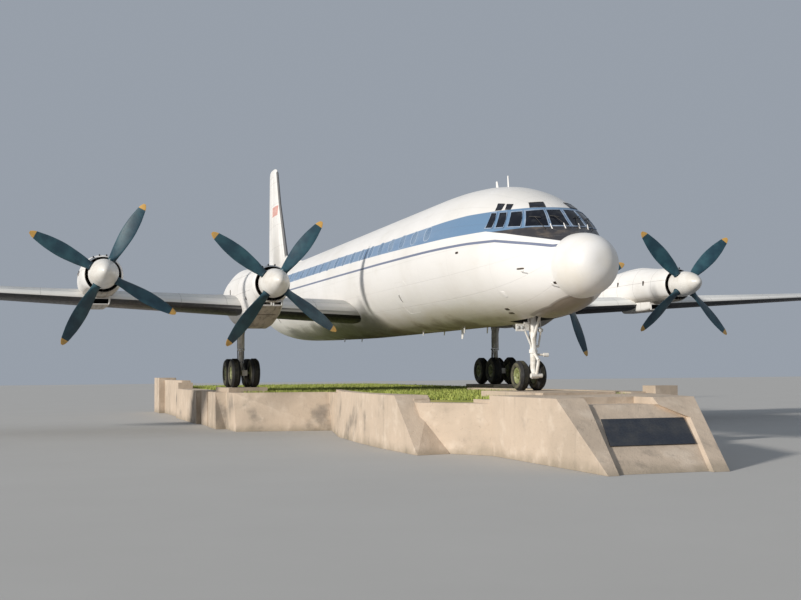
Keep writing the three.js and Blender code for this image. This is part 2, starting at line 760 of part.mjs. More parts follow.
function rim(radius, width, x, y, z, outward) {
  const half = width * 0.36;
  const solid = bar([x - half, y, z], [x + half, y, z], radius - SEAT_GAP, radius - SEAT_GAP, TYRE_SEGMENTS);
  const dishFrom = x + outward * (half - 60);
  const dish = bar([dishFrom, y, z], [x + outward * (half + 10), y, z], radius * 0.5, radius * 0.8, TYRE_SEGMENTS);
  return solid.subtract(dish);
}

// Main gear: one leg per inner nacelle with a four-wheeled bogie
const MAIN_RIM = 225;
const MAIN_AXLE_HEIGHT = PLINTH_HEIGHT + MAIN_TYRE_RADIUS + SEAT_GAP;
const MAIN_AXLE_RADIUS = 45;
const SIDES = [
  { name: 'left', sign: 1 },
  { name: 'right', sign: -1 },
];
const AXLES = [
  { name: 'front', y: -MAIN_AXLE_SPREAD },
  { name: 'rear', y: MAIN_AXLE_SPREAD },
];

function mainLeg(x) {
  const top = MAIN_LEG_POCKET.ceiling - SEAT_GAP;
  const beam = box(170, 2 * MAIN_AXLE_SPREAD + 240, 180, x, 0, MAIN_AXLE_HEIGHT);
  const bores = AXLES.map(({ y }) => (
    pinHole([x - 200, y, MAIN_AXLE_HEIGHT], [x + 200, y, MAIN_AXLE_HEIGHT], MAIN_AXLE_RADIUS)
  ));
  const knee = PLINTH_HEIGHT + 1180;
  const leg = union([
    bar([x, 0, knee], [x, 0, top], 115, 115, 16),
    bar([x, 0, MAIN_AXLE_HEIGHT], [x, 0, knee + 20], 75, 75, 16),
    box(420, 420, 60, x, 0, top - 30),
    bar([x, -60, PLINTH_HEIGHT + 1350], [x, -200, top - 20], 45),
    bar([x - 170, 0, top - 40], [x, 0, PLINTH_HEIGHT + 1300], 40),
    bar([x + 170, 0, top - 40], [x, 0, PLINTH_HEIGHT + 1300], 40),
    box(90, 260, 70, x, 160, PLINTH_HEIGHT + 1220),
    bar([x, 270, PLINTH_HEIGHT + 1220], [x, 330, PLINTH_HEIGHT + 860], 34),
    bar([x, 330, PLINTH_HEIGHT + 880], [x, 40, MAIN_AXLE_HEIGHT + 60], 34),
  ]);
  return union([leg, beam.subtract(union(bores))]);
}

for (const { name, sign } of SIDES) {
  const x = sign * MAIN_GEAR_X;
  const leg = mainLeg(MAIN_GEAR_X);
  addPiece(`main_leg_${name}`, sign > 0 ? leg : leg.mirror([1, 0, 0]), 'steel');
  for (const axle of AXLES) {
    const z = MAIN_AXLE_HEIGHT;
    const inner = x - sign * MAIN_TYRE_OFFSET;
    const outer = x + sign * MAIN_TYRE_OFFSET;
    const reach = MAIN_TYRE_OFFSET + 60;
    const hub = union([
      rim(MAIN_RIM, MAIN_TYRE_WIDTH, inner, axle.y, z, -sign),
      rim(MAIN_RIM, MAIN_TYRE_WIDTH, outer, axle.y, z, sign),
      bar([x - reach, axle.y, z], [x + reach, axle.y, z], MAIN_AXLE_RADIUS),
    ]);
    addPiece(`main_hubs_${name}_${axle.name}`, hub, 'green');
    const [r, w] = [MAIN_TYRE_RADIUS, MAIN_TYRE_WIDTH];
    addPiece(`main_tyre_${name}_${axle.name}_inner`, tyre(r, w, MAIN_RIM, inner, axle.y, z), 'rubber');
    addPiece(`main_tyre_${name}_${axle.name}_outer`, tyre(r, w, MAIN_RIM, outer, axle.y, z), 'rubber');
  }
}

// Nose gear: fixed upper leg, steered lower leg and a pair of wheels
const NOSE_RIM = 190;
const NOSE_AXLE_HEIGHT = PLINTH_HEIGHT + NOSE_TYRE_RADIUS + SEAT_GAP;
const NOSE_AXLE_RADIUS = 36;
const NOSE_COLLAR = PLINTH_HEIGHT + 960;

const NOSE_LEG_Y = NOSE_GEAR_Y - NOSE_TRAIL;
const NOSE_LEG_RADIUS = 76;
const NOSE_HINGE_REACH = 150;

function noseLeg() {
  const top = NOSE_BAY.ceiling - SEAT_GAP;
  const foot = NOSE_COLLAR + 40;
  const y = NOSE_LEG_Y;
  return union([
    bar([0, y, NOSE_COLLAR], [0, y, top - 20], NOSE_LEG_RADIUS, NOSE_LEG_RADIUS, 16),
    box(520, 260, 60, 0, y, top - 30),
    bar([0, y - 60, PLINTH_HEIGHT + 1250], [0, -13600, top - 60], 34),
    box(300, 120, 60, 0, -13600, top - 30),
    bar([-40, y, foot + 10], [-150, y, top - 50], 26),
    bar([-50, y - 30, foot], [-240, y - 30, PLINTH_HEIGHT + 1440], 22),
    box(206, 40, 170, -337, y - 30, PLINTH_HEIGHT + 1460),
    box(120, 30, 200, -180, y - 30, PLINTH_HEIGHT + 1490),
    bar([0, y, foot + 20], [140, y, foot + 30], 30),
    bar([130, y, foot + 20], [200, y, PLINTH_HEIGHT + 1380], 22),
    bar([200, y, PLINTH_HEIGHT + 1380], [150, y, top - 40], 14),
    bar([185, y + 40, PLINTH_HEIGHT + 1400], [185, y - 60, PLINTH_HEIGHT + 1400], 48),
  ]);
}

function noseFork() {
  const [left, right] = [-200, 200].map((x) => [x, NOSE_GEAR_Y, NOSE_AXLE_HEIGHT]);
  const bore = pinHole(left, right, NOSE_AXLE_RADIUS);
  const y = NOSE_LEG_Y;
  const hinge = y - NOSE_HINGE_REACH;
  const elbow = [0, y - 290, PLINTH_HEIGHT + 700];
  const arm = PLINTH_HEIGHT + 840;
  const back = NOSE_GEAR_Y + 75;
  return union([
    bar([0, y, NOSE_AXLE_HEIGHT - 70], [0, y, NOSE_COLLAR - SEAT_GAP], NOSE_LEG_RADIUS, NOSE_LEG_RADIUS, 16),
    box(130, back - hinge, 130, 0, (back + hinge) / 2, NOSE_AXLE_HEIGHT),
    bar([-140, hinge, NOSE_AXLE_HEIGHT], [140, hinge, NOSE_AXLE_HEIGHT], 52, 52, 14),
    bar([0, y, NOSE_COLLAR - 90], [0, y, NOSE_COLLAR - 8], 98, 98, 16),
    bar([0, y, NOSE_COLLAR - 50], elbow, 36),
    bar(elbow, [0, hinge, NOSE_AXLE_HEIGHT], 36),
    bar([0, y, arm], [260, y - 60, arm - 10], 24),
    bar([230, y - 56, arm - 9], [345, y - 74, arm - 12], 45),
  ]).subtract(bore);
}

addPiece('nose_leg', noseLeg(), 'cream');
addPiece('nose_fork', noseFork(), 'cream');
const noseReach = NOSE_TYRE_OFFSET + 70;
const noseHubs = union([
  rim(NOSE_RIM, NOSE_TYRE_WIDTH, -NOSE_TYRE_OFFSET, NOSE_GEAR_Y, NOSE_AXLE_HEIGHT, -1),
  rim(NOSE_RIM, NOSE_TYRE_WIDTH, NOSE_TYRE_OFFSET, NOSE_GEAR_Y, NOSE_AXLE_HEIGHT, 1),
  bar([-noseReach, NOSE_GEAR_Y, NOSE_AXLE_HEIGHT], [noseReach, NOSE_GEAR_Y, NOSE_AXLE_HEIGHT], NOSE_AXLE_RADIUS),
]);
addPiece('nose_hubs', noseHubs, 'green');
for (const { name, sign } of SIDES) {
  const x = sign * NOSE_TYRE_OFFSET;
  const ring = tyre(NOSE_TYRE_RADIUS, NOSE_TYRE_WIDTH, NOSE_RIM, x, NOSE_GEAR_Y, NOSE_AXLE_HEIGHT);
  addPiece(`nose_tyre_${name}`, ring, 'rubber');
}

// Plinth heights
const WALL_TOP = PLINTH_HEIGHT - 140;
const BLOCK_TOP = PLINTH_HEIGHT - 60;
const NOSE_TOP = PLINTH_HEIGHT - 50;

// Wall plan at the ground, front to back along the right-hand side; the top is set back by `lean`
const PLINTH_SIDE = [
  { x: -1900, y: -15000, lean: 0 },
  { x: -2930, y: -13400, lean: 0 },
  { x: -2900, y: -9000, lean: 0 },
  { x: -2350, y: -3450, lean: 350 },
  { x: -5150, y: -2800, lean: 450 },
  { x: -5150, y: -1000, lean: 0 },
  { x: -5470, y: -1000, lean: 150 },
  { x: -5470, y: 700, lean: 0 },
  { x: -5300, y: 700, lean: 0 },
  { x: -5300, y: 1300, lean: 0 },
  { x: -5400, y: 1300, lean: 100 },
  { x: -5400, y: 2700, lean: 0 },
  { x: -5300, y: 2700, lean: 0 },
  { x: -5300, y: 3100, lean: 0 },
  { x: -5520, y: 3100, lean: 100 },
  { x: -5520, y: 8600, lean: 0 },
  { x: -5300, y: 8600, lean: 0 },
  { x: -5300, y: 14800, lean: 0 },
  { x: -5550, y: 14800, lean: 100 },
  { x: -5550, y: 16800, lean: 0 },
];

// Oblique parapet block on each side, whose front end leans back
const PARAPET = [
  // ground x and y, top x and y
  { x: -2350, y: -3450, topX: -2200, topY: -3450 },
  { x: -3050, y: -6900, topX: -2950, topY: -6900 },
  { x: -3260, y: -9650, topX: -3200, topY: -9650 },
  { x: -3340, y: -11650, topX: -3320, topY: -11650 },
  { x: -3290, y: -14260, topX: -3330, topY: -12800 },
  { x: -2500, y: -14100, topX: -2500, topY: -12900 },
  { x: -1500, y: -9000, topX: -1500, topY: -9000 },
  { x: -1300, y: -3450, topX: -1300, topY: -3450 },
];

// Higher blocks that stand in the walls: the rear ones on the right, the post on the left
const REAR_BLOCKS = [
  { from: [-5520, 8200], to: [-4950, 8900], top: PLINTH_HEIGHT + 100 },
  { from: [-5300, 8850], to: [-4950, 14900], top: PLINTH_HEIGHT + 180 },
  { from: [-5550, 14800], to: [-4800, 16800], top: PLINTH_HEIGHT + 270 },
];
const LEFT_POST = { from: [3000, -13300], to: [3600, -12700], top: PLINTH_HEIGHT + 85 };

// Stretch of wall beside the nose block whose top is lower than the rest
const LOW_WALL = { from: [-3250, -15200], to: [-1900, -13000], top: PLINTH_HEIGHT - 215 };

// Nose block with a sloping front; its front face is sunk between two side ribs
const PLINTH_NOSE = {
  // corners: front right-hand, front left-hand, back left-hand, back right-hand
  foot: [[-1900, -20050], [450, -20050], [1900, -14900], [-1900, -14900]],
  head: [[-1900, -18100], [1000, -18100], [1900, -14900], [-1900, -14900]],
};
const FRONT_SLOPE = (20050 - 18100) / NOSE_TOP;
const PANEL_DEPTH = 150;
const PANEL_OUTLINE = [[-1340, 1120], [100, 1120], [550, 880], [120, -20], [-1700, -20]];
const LEDGE = { left: 100, right: -1340, back: -17400, height: 1120 };
const PLAQUE = {
  outline: [[-1230, 880], [470, 880], [300, 440], [-1420, 440]],
  thickness: 45,
  gap: 0.6,
};
const TURF = { depth: 220, below: 30 };
const PADS = [
  // x range and y range
  { from: [-850, -15300], to: [850, -11850] },
  { from: [3880, -1300], to: [5120, 1300] },
  { from: [-5120, -1300], to: [-3880, 1300] },
];
const PAD_FOOT = 700;
const TURF_SIDE = [
  [-1600, -14400],
  [-2550, -13100],
  [-2850, -9600],
  [-2600, -6900],
  [-2000, -3000],
  [-4750, -2150],
  [-4750, 16300],
];

function mirroredPlan(side) {
  const other = side.map(([x, y]) => [-x, y]).reverse();
  return [...side, ...other];
}

function padsGrown(grow, foot, head) {
  return union(PADS.map(({ from, to }) => (
    box(
      to[0] - from[0] + 2 * grow,
      to[1] - from[1] + 2 * grow,
      head - foot,
      (from[0] + to[0]) / 2,
      (from[1] + to[1]) / 2,
      (foot + head) / 2,
    )
  )));
}

// Upright walls on the ground plan with their top outline set back by each corner's lean
function walls() {
  const foot = mirroredPlan(PLINTH_SIDE.map(({ x, y }) => [x, y]));
  const head = mirroredPlan(PLINTH_SIDE.map(({ x, y, lean }) => [x, y + lean]));
  const shape = new THREE.Shape(foot.map(([x, y]) => new THREE.Vector2(x, y)));
  const geometry = new THREE.ExtrudeGeometry(shape, { depth: WALL_TOP, bevelEnabled: false });
  const { position } = geometry.attributes;
  for (let i = 0; i < position.count; i += 1) {
    if (position.getZ(i) > WALL_TOP / 2) {
      const at = foot.findIndex(([x, y]) => (
        Math.hypot(x - position.getX(i), y - position.getY(i)) < 1
      ));
      position.setXY(i, ...head[at]);
    }
  }
  return solidOf(geometry);
}

// Upright block over a plan rectangle between two heights
function planBox({ from, to }, foot, head) {
  const [width, depth] = [to[0] - from[0], to[1] - from[1]];
  return box(width, depth, head - foot, (from[0] + to[0]) / 2, (from[1] + to[1]) / 2, (head + foot) / 2);
}

function parapet() {
  const foot = PARAPET.map(({ x, y }) => [x, y, 0]);
  const head = PARAPET.map(({ topX, topY }) => [topX, topY, BLOCK_TOP]);
  return loft([foot, head]);
}

// Prism on the sloping front: an outline of x and height between two depths behind the face
function frontPrism(outline, near, far) {
  const ring = (depth) => outline.map(([x, z]) => (
    [x, PLINTH_NOSE.foot[0][1] + FRONT_SLOPE * z + depth, z]
  ));
  return loft([ring(near), ring(far)]);
}

function noseBlock() {
  const foot = PLINTH_NOSE.foot.map(([x, y]) => [x, y, 0]);
  const head = PLINTH_NOSE.head.map(([x, y]) => [x, y, NOSE_TOP]);
  const front = PLINTH_NOSE.foot[0][1];
  const ledge = box(
    LEDGE.left - LEDGE.right,
    LEDGE.back - front,
    2 * (NOSE_TOP - LEDGE.height),
    (LEDGE.left + LEDGE.right) / 2,
    (LEDGE.back + front) / 2,
    NOSE_TOP,
  );
  return loft([foot, head]).subtract(frontPrism(PANEL_OUTLINE, -600, PANEL_DEPTH)).subtract(ledge);
}

// Outline moved inwards by a distance, each corner along the line between its two sides
function shrunkPlan(plan, inset) {
  return plan.map((corner, i) => {
    const before = plan[(i + plan.length - 1) % plan.length];
    const after = plan[(i + 1) % plan.length];
    const normalOf = ([ax, ay], [bx, by]) => {
      const length = Math.hypot(bx - ax, by - ay);
      return [(by - ay) / length, (ax - bx) / length];
    };
    const [n, m] = [normalOf(before, corner), normalOf(corner, after)];
    const scale = inset / (1 + n[0] * m[0] + n[1] * m[1]);
    return [corner[0] + (n[0] + m[0]) * scale, corner[1] + (n[1] + m[1]) * scale];
  });
}

function turfBed(inset, bottom, top) {
  const plan = shrunkPlan(mirroredPlan(TURF_SIDE), inset);
  return slab(plan, bottom, top).subtract(padsGrown(inset, 0, 2 * PLINTH_HEIGHT));
}

function standingBlock(block) {
  return planBox(block, 0, block.top);
}

const lowWallCut = planBox(LOW_WALL, LOW_WALL.top, PLINTH_HEIGHT + 100);
const plinthBody = union([
  walls().subtract(lowWallCut).subtract(lowWallCut.mirror([1, 0, 0])),
  parapet(),
  parapet().mirror([1, 0, 0]),
  ...REAR_BLOCKS.map(standingBlock),
  standingBlock(LEFT_POST),
  noseBlock(),
  padsGrown(0, PAD_FOOT, PLINTH_HEIGHT),
]);
const pocket = turfBed(0, WALL_TOP - TURF.depth, PLINTH_HEIGHT + 100);
addPiece('plinth', plinthBody.subtract(pocket), 'concrete');
const turf = turfBed(2, WALL_TOP - TURF.depth + SEAT_GAP, WALL_TOP - TURF.below);
addPiece('plinth_turf', turf, 'turf');
const plaqueBack = PANEL_DEPTH - PLAQUE.gap;
addPiece('plaque', frontPrism(PLAQUE.outline, plaqueBack - PLAQUE.thickness, plaqueBack), 'plaque');

export default model;
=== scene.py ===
"""Looks of a narrow body turboprop airliner that stands on its gear on a concrete plinth.

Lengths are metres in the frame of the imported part: +X is the aircraft's left, its nose
points to -Y and +Z is up. HP is the height of the plane that the wheels stand on.
"""
import json
import math

import bmesh
import bpy
import numpy as np
from mathutils import Matrix, Vector

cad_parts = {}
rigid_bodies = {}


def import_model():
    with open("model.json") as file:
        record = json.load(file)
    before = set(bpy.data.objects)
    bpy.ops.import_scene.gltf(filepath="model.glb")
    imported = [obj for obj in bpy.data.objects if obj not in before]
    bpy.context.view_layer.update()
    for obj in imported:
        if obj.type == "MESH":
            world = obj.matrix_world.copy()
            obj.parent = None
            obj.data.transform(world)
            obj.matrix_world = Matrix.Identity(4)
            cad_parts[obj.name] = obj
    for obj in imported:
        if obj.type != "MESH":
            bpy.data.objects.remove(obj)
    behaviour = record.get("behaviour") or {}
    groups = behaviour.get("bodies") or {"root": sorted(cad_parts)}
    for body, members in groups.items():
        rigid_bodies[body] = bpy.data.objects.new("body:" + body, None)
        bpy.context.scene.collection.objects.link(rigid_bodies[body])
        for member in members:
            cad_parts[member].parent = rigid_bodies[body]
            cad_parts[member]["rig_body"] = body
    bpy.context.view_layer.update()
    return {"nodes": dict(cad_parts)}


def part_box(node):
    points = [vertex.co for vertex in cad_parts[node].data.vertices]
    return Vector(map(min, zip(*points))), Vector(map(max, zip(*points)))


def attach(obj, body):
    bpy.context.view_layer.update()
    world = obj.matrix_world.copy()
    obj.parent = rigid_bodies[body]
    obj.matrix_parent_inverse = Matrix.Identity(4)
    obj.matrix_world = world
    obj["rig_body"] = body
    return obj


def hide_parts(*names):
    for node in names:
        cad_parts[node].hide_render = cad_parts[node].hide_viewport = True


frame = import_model()
nodes = frame["nodes"]

HP = 1.3
SIDES = (("right", -1), ("left", 1))
CUTTER_ANGLE = 30
WELD_DISTANCE = 2e-5
FLAT_ANGLE = math.radians(0.6)


# Mesh helpers

def make_piece(name, points, faces, body, material, angle=35):
    """New mesh piece on a body, from points and faces."""
    mesh = bpy.data.meshes.new(name)
    mesh.from_pydata([tuple(p) for p in points], [], faces)
    mesh.validate()
    finish_mesh(mesh, angle)
    return place_piece(name, mesh, body, material)


def linked(name, data):
    """New object in the scene around a mesh, a camera or a light."""
    made = bpy.data.objects.new(name, data)
    bpy.context.scene.collection.objects.link(made)
    return made


def place_piece(name, mesh, body, material):
    piece = linked(name, mesh)
    mesh.materials.clear()
    for one in material if isinstance(material, (list, tuple)) else [material]:
        mesh.materials.append(one)
    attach(piece, body)
    return piece


def finish_mesh(mesh, angle):
    """Outward normals, smooth shading and sharp edges above the angle in degrees."""
    work = bmesh.new()
    work.from_mesh(mesh)
    bmesh.ops.recalc_face_normals(work, faces=work.faces)
    work.to_mesh(mesh)
    work.free()
    mesh.shade_smooth()
    mesh.set_sharp_from_angle(angle=math.radians(angle))


def apply_modifiers(piece):
    """Bakes the piece's modifiers into its mesh."""
    graph = bpy.context.evaluated_depsgraph_get()
    graph.update()
    mesh = bpy.data.meshes.new_from_object(piece.evaluated_get(graph))
    piece.modifiers.clear()
    piece.data = mesh
    return piece


def cut_away(piece, batch, angle=35, overlapping=False):
    """Takes the closed shapes of a batch out of a piece."""
    mesh = bpy.data.meshes.new("cutter")
    mesh.from_pydata(batch.points, [], batch.faces)
    finish_mesh(mesh, CUTTER_ANGLE)
    cutter = linked("cutter", mesh)
    cut = piece.modifiers.new("cut", "BOOLEAN")
    cut.operation = "DIFFERENCE"
    cut.object = cutter
    cut.solver = "EXACT"
    cut.use_self = overlapping
    apply_modifiers(piece)
    bpy.data.objects.remove(cutter)
    piece.data.shade_smooth()
    piece.data.set_sharp_from_angle(angle=math.radians(angle))


def paint_faces(piece, index, chosen):
    """Gives the faces whose centre passes the test another of the piece's materials."""
    for face in piece.data.polygons:
        if chosen(face.center):
            face.material_index = index


def stitched(rings, caps=True):
    """Faces of a loft through rings of the same number of points."""
    count = len(rings[0])
    faces = []
    for i in range(len(rings) - 1):
        for j in range(count):
            k = (j + 1) % count
            a = i * count
            b = a + count
            faces.append((a + j, a + k, b + k, b + j))
    if caps:
        last = (len(rings) - 1) * count
        faces.append(tuple(reversed(range(count))))
        faces.append(tuple(last + j for j in range(count)))
    return faces


class Batch:
    """Many small closed shapes gathered into one mesh."""

    def __init__(self):
        self.points = []
        self.faces = []

    def add(self, points, faces):
        base = len(self.points)
        self.points.extend(tuple(p) for p in points)
        self.faces.extend(tuple(base + i for i in face) for face in faces)

    def loft(self, rings, caps=True):
        self.add([p for ring in rings for p in ring], stitched(rings, caps))

    def hoop(self, loops):
        """Frame round a hole: a loft whose last loop joins the first."""
        self.loft(loops + [loops[0]], caps=False)

    def box(self, low, high):
        corners = [(x, y, z) for x in (low[0], high[0]) for y in (low[1], high[1])
                   for z in (low[2], high[2])]
        self.add(corners, [(0, 1, 3, 2), (4, 6, 7, 5), (0, 4, 5, 1),
                           (2, 3, 7, 6), (0, 2, 6, 4), (1, 5, 7, 3)])

    def rod(self, start, end, radius, end_radius=None, sides=12):
        """Round bar between two points."""
        far = radius if end_radius is None else end_radius
        self.turning(start, end, [(0, radius), (1, far)], sides)

    def turning(self, start, end, profile, sides=24):
        """Turned shape about the line from start to end; profile rows are (share, radius)."""
        start, end = Vector(start), Vector(end)
        across, up = frame_about((end - start).normalized())
        rings = []
        for share, size in profile:
            centre = start + (end - start) * share
            rings.append([centre + (across * math.cos(a) + up * math.sin(a)) * size
                          for a in circle(sides)])
        self.loft(rings)

    def tube(self, path, radius, sides=8):
        """Bent pipe along a list of points."""
        path = [Vector(p) for p in path]
        rings = []
        for i, centre in enumerate(path):
            along = (path[min(i + 1, len(path) - 1)] - path[max(i - 1, 0)]).normalized()
            across, up = frame_about(along)
            rings.append([centre + (across * math.cos(a) + up * math.sin(a)) * radius
                          for a in circle(sides)])
        self.loft(rings)

    def piece(self, name, material, slot, angle=35, body="airframe"):
        """The batch as one piece, which rides on the airframe unless told otherwise."""
        return make_piece(name, self.points, self.faces, body, material, angle)


def circle(count):
    """Angles of count even steps round a circle."""
    return [2 * math.pi * i / count for i in range(count)]


def frame_about(along):
    """Two directions square to a unit vector and to each other."""
    helper = Vector((0, 0, 1)) if abs(along.z) < 0.9 else Vector((0, 1, 0))
    across = along.cross(helper).normalized()
    return across, across.cross(along).normalized()


def shaft_ring(radius, back, centre, count):
    """Circle about a line along Y through centre, at a distance behind it."""
    return [(centre[0] + radius * math.cos(a), centre[1] + float(back), centre[2] + radius * math.sin(a))
            for a in circle(count)]


def smooth_copy(node, material, angle=32, bevel=0.0, segments=2):
    """Stand-in for a CAD node with the same form, softened edges and smooth shading."""
    work = bmesh.new()
    work.from_mesh(nodes[node].data)
    bmesh.ops.remove_doubles(work, verts=work.verts, dist=WELD_DISTANCE)
    bmesh.ops.dissolve_limit(work, angle_limit=FLAT_ANGLE, verts=work.verts, edges=work.edges)
    name = node + "_skin"
    mesh = bpy.data.meshes.new(name)
    work.to_mesh(mesh)
    work.free()
    finish_mesh(mesh, angle)
    piece = place_piece(name, mesh, nodes[node]["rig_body"], material)
    if bevel:
        edge = piece.modifiers.new("edge", "BEVEL")
        edge.width = bevel
        edge.segments = segments
        edge.limit_method = "ANGLE"
        edge.angle_limit = math.radians(angle)
        edge.harden_normals = True
        edge.use_clamp_overlap = True
        apply_modifiers(piece)
    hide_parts(node)
    return piece


FAIR_STEPS = 4000


def fair(table, column):
    """Monotone cubic through a table's (place, value) pairs, as a function of place."""
    x = np.array([row[0] for row in table], float)
    v = np.array([row[column] for row in table], float)
    step = np.diff(x)
    slope = np.diff(v) / step
    ends = np.concatenate(([slope[0]], slope, [slope[-1]]))
    before, after = ends[:-1], ends[1:]
    total = np.where(before + after == 0, 1, before + after)
    grade = np.where(before * after > 0, 2 * before * after / total, 0)
    place = np.linspace(x[0], x[-1], FAIR_STEPS)
    i = np.clip(np.searchsorted(x, place) - 1, 0, len(step) - 1)
    t = (place - x[i]) / step[i]
    values = ((2 * t**3 - 3 * t**2 + 1) * v[i] + (t**3 - 2 * t**2 + t) * grade[i] * step[i]
              + (3 * t**2 - 2 * t**3) * v[i + 1] + (t**3 - t**2) * grade[i + 1] * step[i])
    return lambda where: np.interp(where, place, values)


# Node graph helper for the procedural materials

NOISE_ROUGHNESS = 0.55
RIVET_PITCH = 0.06


class Graph:
    """One procedural material, built from nodes in the frame's own coordinates."""

    def __init__(self, name):
        self.material = bpy.data.materials.new(name)
        self.material.use_nodes = True
        self.tree = self.material.node_tree
        self.shader = self.tree.nodes["Principled BSDF"]
        self.place = self.add("ShaderNodeTexCoord").outputs["Object"]
        axes = self.add("ShaderNodeSeparateXYZ")
        self.link(self.place, axes.inputs[0])
        self.x, self.y, self.z = axes.outputs

    def add(self, kind, **settings):
        node = self.tree.nodes.new(kind)
        for key, value in settings.items():
            setattr(node, key, value)
        return node

    def link(self, source, target):
        self.tree.links.new(source, target)

    def feed(self, value, socket):
        if isinstance(value, bpy.types.NodeSocket):
            self.link(value, socket)
        else:
            socket.default_value = value

    def math(self, operation, a, b=0.0):
        node = self.add("ShaderNodeMath", operation=operation)
        self.feed(a, node.inputs[0])
        self.feed(b, node.inputs[1])
        return node.outputs[0]

    def plus(self, a, b):
        return self.math("ADD", a, b)

    def minus(self, a, b):
        return self.math("SUBTRACT", a, b)

    def times(self, a, b):
        return self.math("MULTIPLY", a, b)

    def either(self, a, b):
        return self.math("MAXIMUM", a, b)

    def scaled(self, stretch):
        node = self.add("ShaderNodeMapping")
        self.link(self.place, node.inputs["Vector"])
        node.inputs["Scale"].default_value = stretch
        return node.outputs[0]

    def noise(self, scale, detail=4, stretch=(1, 1, 1)):
        node = self.add("ShaderNodeTexNoise")
        self.link(self.scaled(stretch), node.inputs["Vector"])
        node.inputs["Scale"].default_value = scale
        node.inputs["Detail"].default_value = detail
        node.inputs["Roughness"].default_value = NOISE_ROUGHNESS
        return node.outputs[0]

    def cells(self, scale):
        node = self.add("ShaderNodeTexVoronoi")
        self.link(self.place, node.inputs["Vector"])
        node.inputs["Scale"].default_value = scale
        return node.outputs[0]

    def ramp(self, value, low, high, to_low=0.0, to_high=1.0, smooth=True):
        """Value moved from low..high to to_low..to_high and held there outside."""
        node = self.add("ShaderNodeMapRange")
        node.interpolation_type = "SMOOTHSTEP" if smooth else "LINEAR"
        self.feed(value, node.inputs[0])
        for i, number in enumerate((low, high, to_low, to_high)):
            self.feed(number, node.inputs[1 + i])
        return node.outputs[0]

    def curve(self, value, points):
        """Straight pieces through (place, height) points, held level past both ends."""
        total = points[0][1]
        for (a, u), (b, v) in zip(points, points[1:]):
            total = self.plus(self.ramp(value, a, b, 0.0, v - u, False), total)
        return total

    def between(self, value, low, high, soft=0.006):
        """1 between low and high, which may be sockets, and 0 outside."""
        above = self.ramp(self.minus(value, low), -soft, soft)
        below = self.ramp(self.minus(high, value), -soft, soft)
        return self.times(above, below)

    def mix(self, share, a, b):
        node = self.add("ShaderNodeMix", data_type="RGBA", blend_type="MIX")
        self.feed(share, node.inputs[0])
        self.feed(rgba(a), node.inputs[6])
        self.feed(rgba(b), node.inputs[7])
        return node.outputs[2]

    def base(self, share, a, b):
        """First coat: a and b mixed by share."""
        self.colour = self.mix(share, a, b)

    def coat(self, share, colour):
        """Lays a colour over what is painted so far, by share."""
        self.colour = self.mix(share, self.colour, colour)

    def lines(self, axis, pitch, width, shift=0.0):
        """1 on thin lines that repeat along an axis."""
        part = self.math("PINGPONG", self.plus(axis, 1000 * pitch + shift), pitch / 2)
        return self.ramp(part, width / 2, width, 1.0, 0.0)

    def rivets(self, joint):
        """Rows of small round heads beside the joints, for the bump."""
        heads = self.ramp(self.cells(1 / RIVET_PITCH), 0.14, 0.22, 1.0, 0.0)
        return self.times(heads, joint)

    def facing(self, axis):
        """Part of the face's direction along X, Y or Z, given as 0, 1 or 2, from -1 to 1."""
        normal = self.add("ShaderNodeSeparateXYZ")
        self.link(self.add("ShaderNodeNewGeometry").outputs["Normal"], normal.inputs[0])
        return normal.outputs[axis]

    def facing_down(self, none, full):
        """0 where the normal's height is at none, 1 where it is at full."""
        return self.ramp(self.facing(2), none, full)

    def finish(self, rough, height=None, distance=0.002, metal=0.0):
        """Joins colour, roughness and bump to the shader and returns the material."""
        self.feed(self.colour, self.shader.inputs["Base Color"])
        self.feed(rough, self.shader.inputs["Roughness"])
        self.shader.inputs["Metallic"].default_value = metal
        if height is not None:
            bump = self.add("ShaderNodeBump")
            bump.inputs["Distance"].default_value = distance
            self.link(height, bump.inputs["Height"])
            self.link(bump.outputs[0], self.shader.inputs["Normal"])
        return self.material


def rgba(colour):
    if isinstance(colour, (tuple, list)) and len(colour) == 3:
        return (*colour, 1.0)
    return colour


# Materials

WHITE = (0.82, 0.80, 0.775)
AGED_WHITE = (0.75, 0.725, 0.685)
DUST = (0.60, 0.55, 0.46)
BELLY_TAN = (0.56, 0.49, 0.37)
BELLY_BROWN = (0.20, 0.15, 0.095)
SEAM = (0.20, 0.17, 0.14)
NOSE_BLUE = (0.135, 0.235, 0.370)
BAND_BLUE = (0.15, 0.245, 0.39)
FADED_BLUE = (0.21, 0.30, 0.43)
LINE_BLUE = (0.17, 0.195, 0.28)
DAZZLE_BROWN = (0.036, 0.034, 0.038)

# edges of the painted band as (y, height above HP)
BAND_TOP = [(-15.45, 4.03), (-14.15, 4.07), (-12.36, 4.11), (-9.84, 4.08), (-5.95, 4.10),
            (-0.76, 4.18), (5.77, 4.25), (12.5, 4.28), (15.2, 4.16)]
BAND_FOOT = [(-15.45, 3.20), (-14.73, 3.36), (-14.11, 3.49), (-13.41, 3.61), (-12.7, 3.62),
             (-10.2, 3.67), (-6.34, 3.77), (-1.29, 3.86), (5.02, 3.89), (12.5, 3.92), (15.2, 4.10)]
THIN_LINE = [(-15.35, 3.10), (-14.8, 3.20), (-13.84, 3.35), (-12.8, 3.39), (-10.3, 3.435),
             (-6.5, 3.49), (-1.5, 3.535), (4.3, 3.575), (15.0, 3.64)]
# edge of the painted shade under the nose, as (y, height above HP)
CHIN_SHADE_EDGE = [(-15.45, 2.03), (-14.8, 1.84), (-14.08, 1.73), (-13.5, 1.64)]

# seams round the fuselage in metres, and along it in radians about the height of its middle
SKIN_RING_PITCH = 1.96
SKIN_SEAM_TURN = 0.3491
SKIN_MIDDLE = 3.33


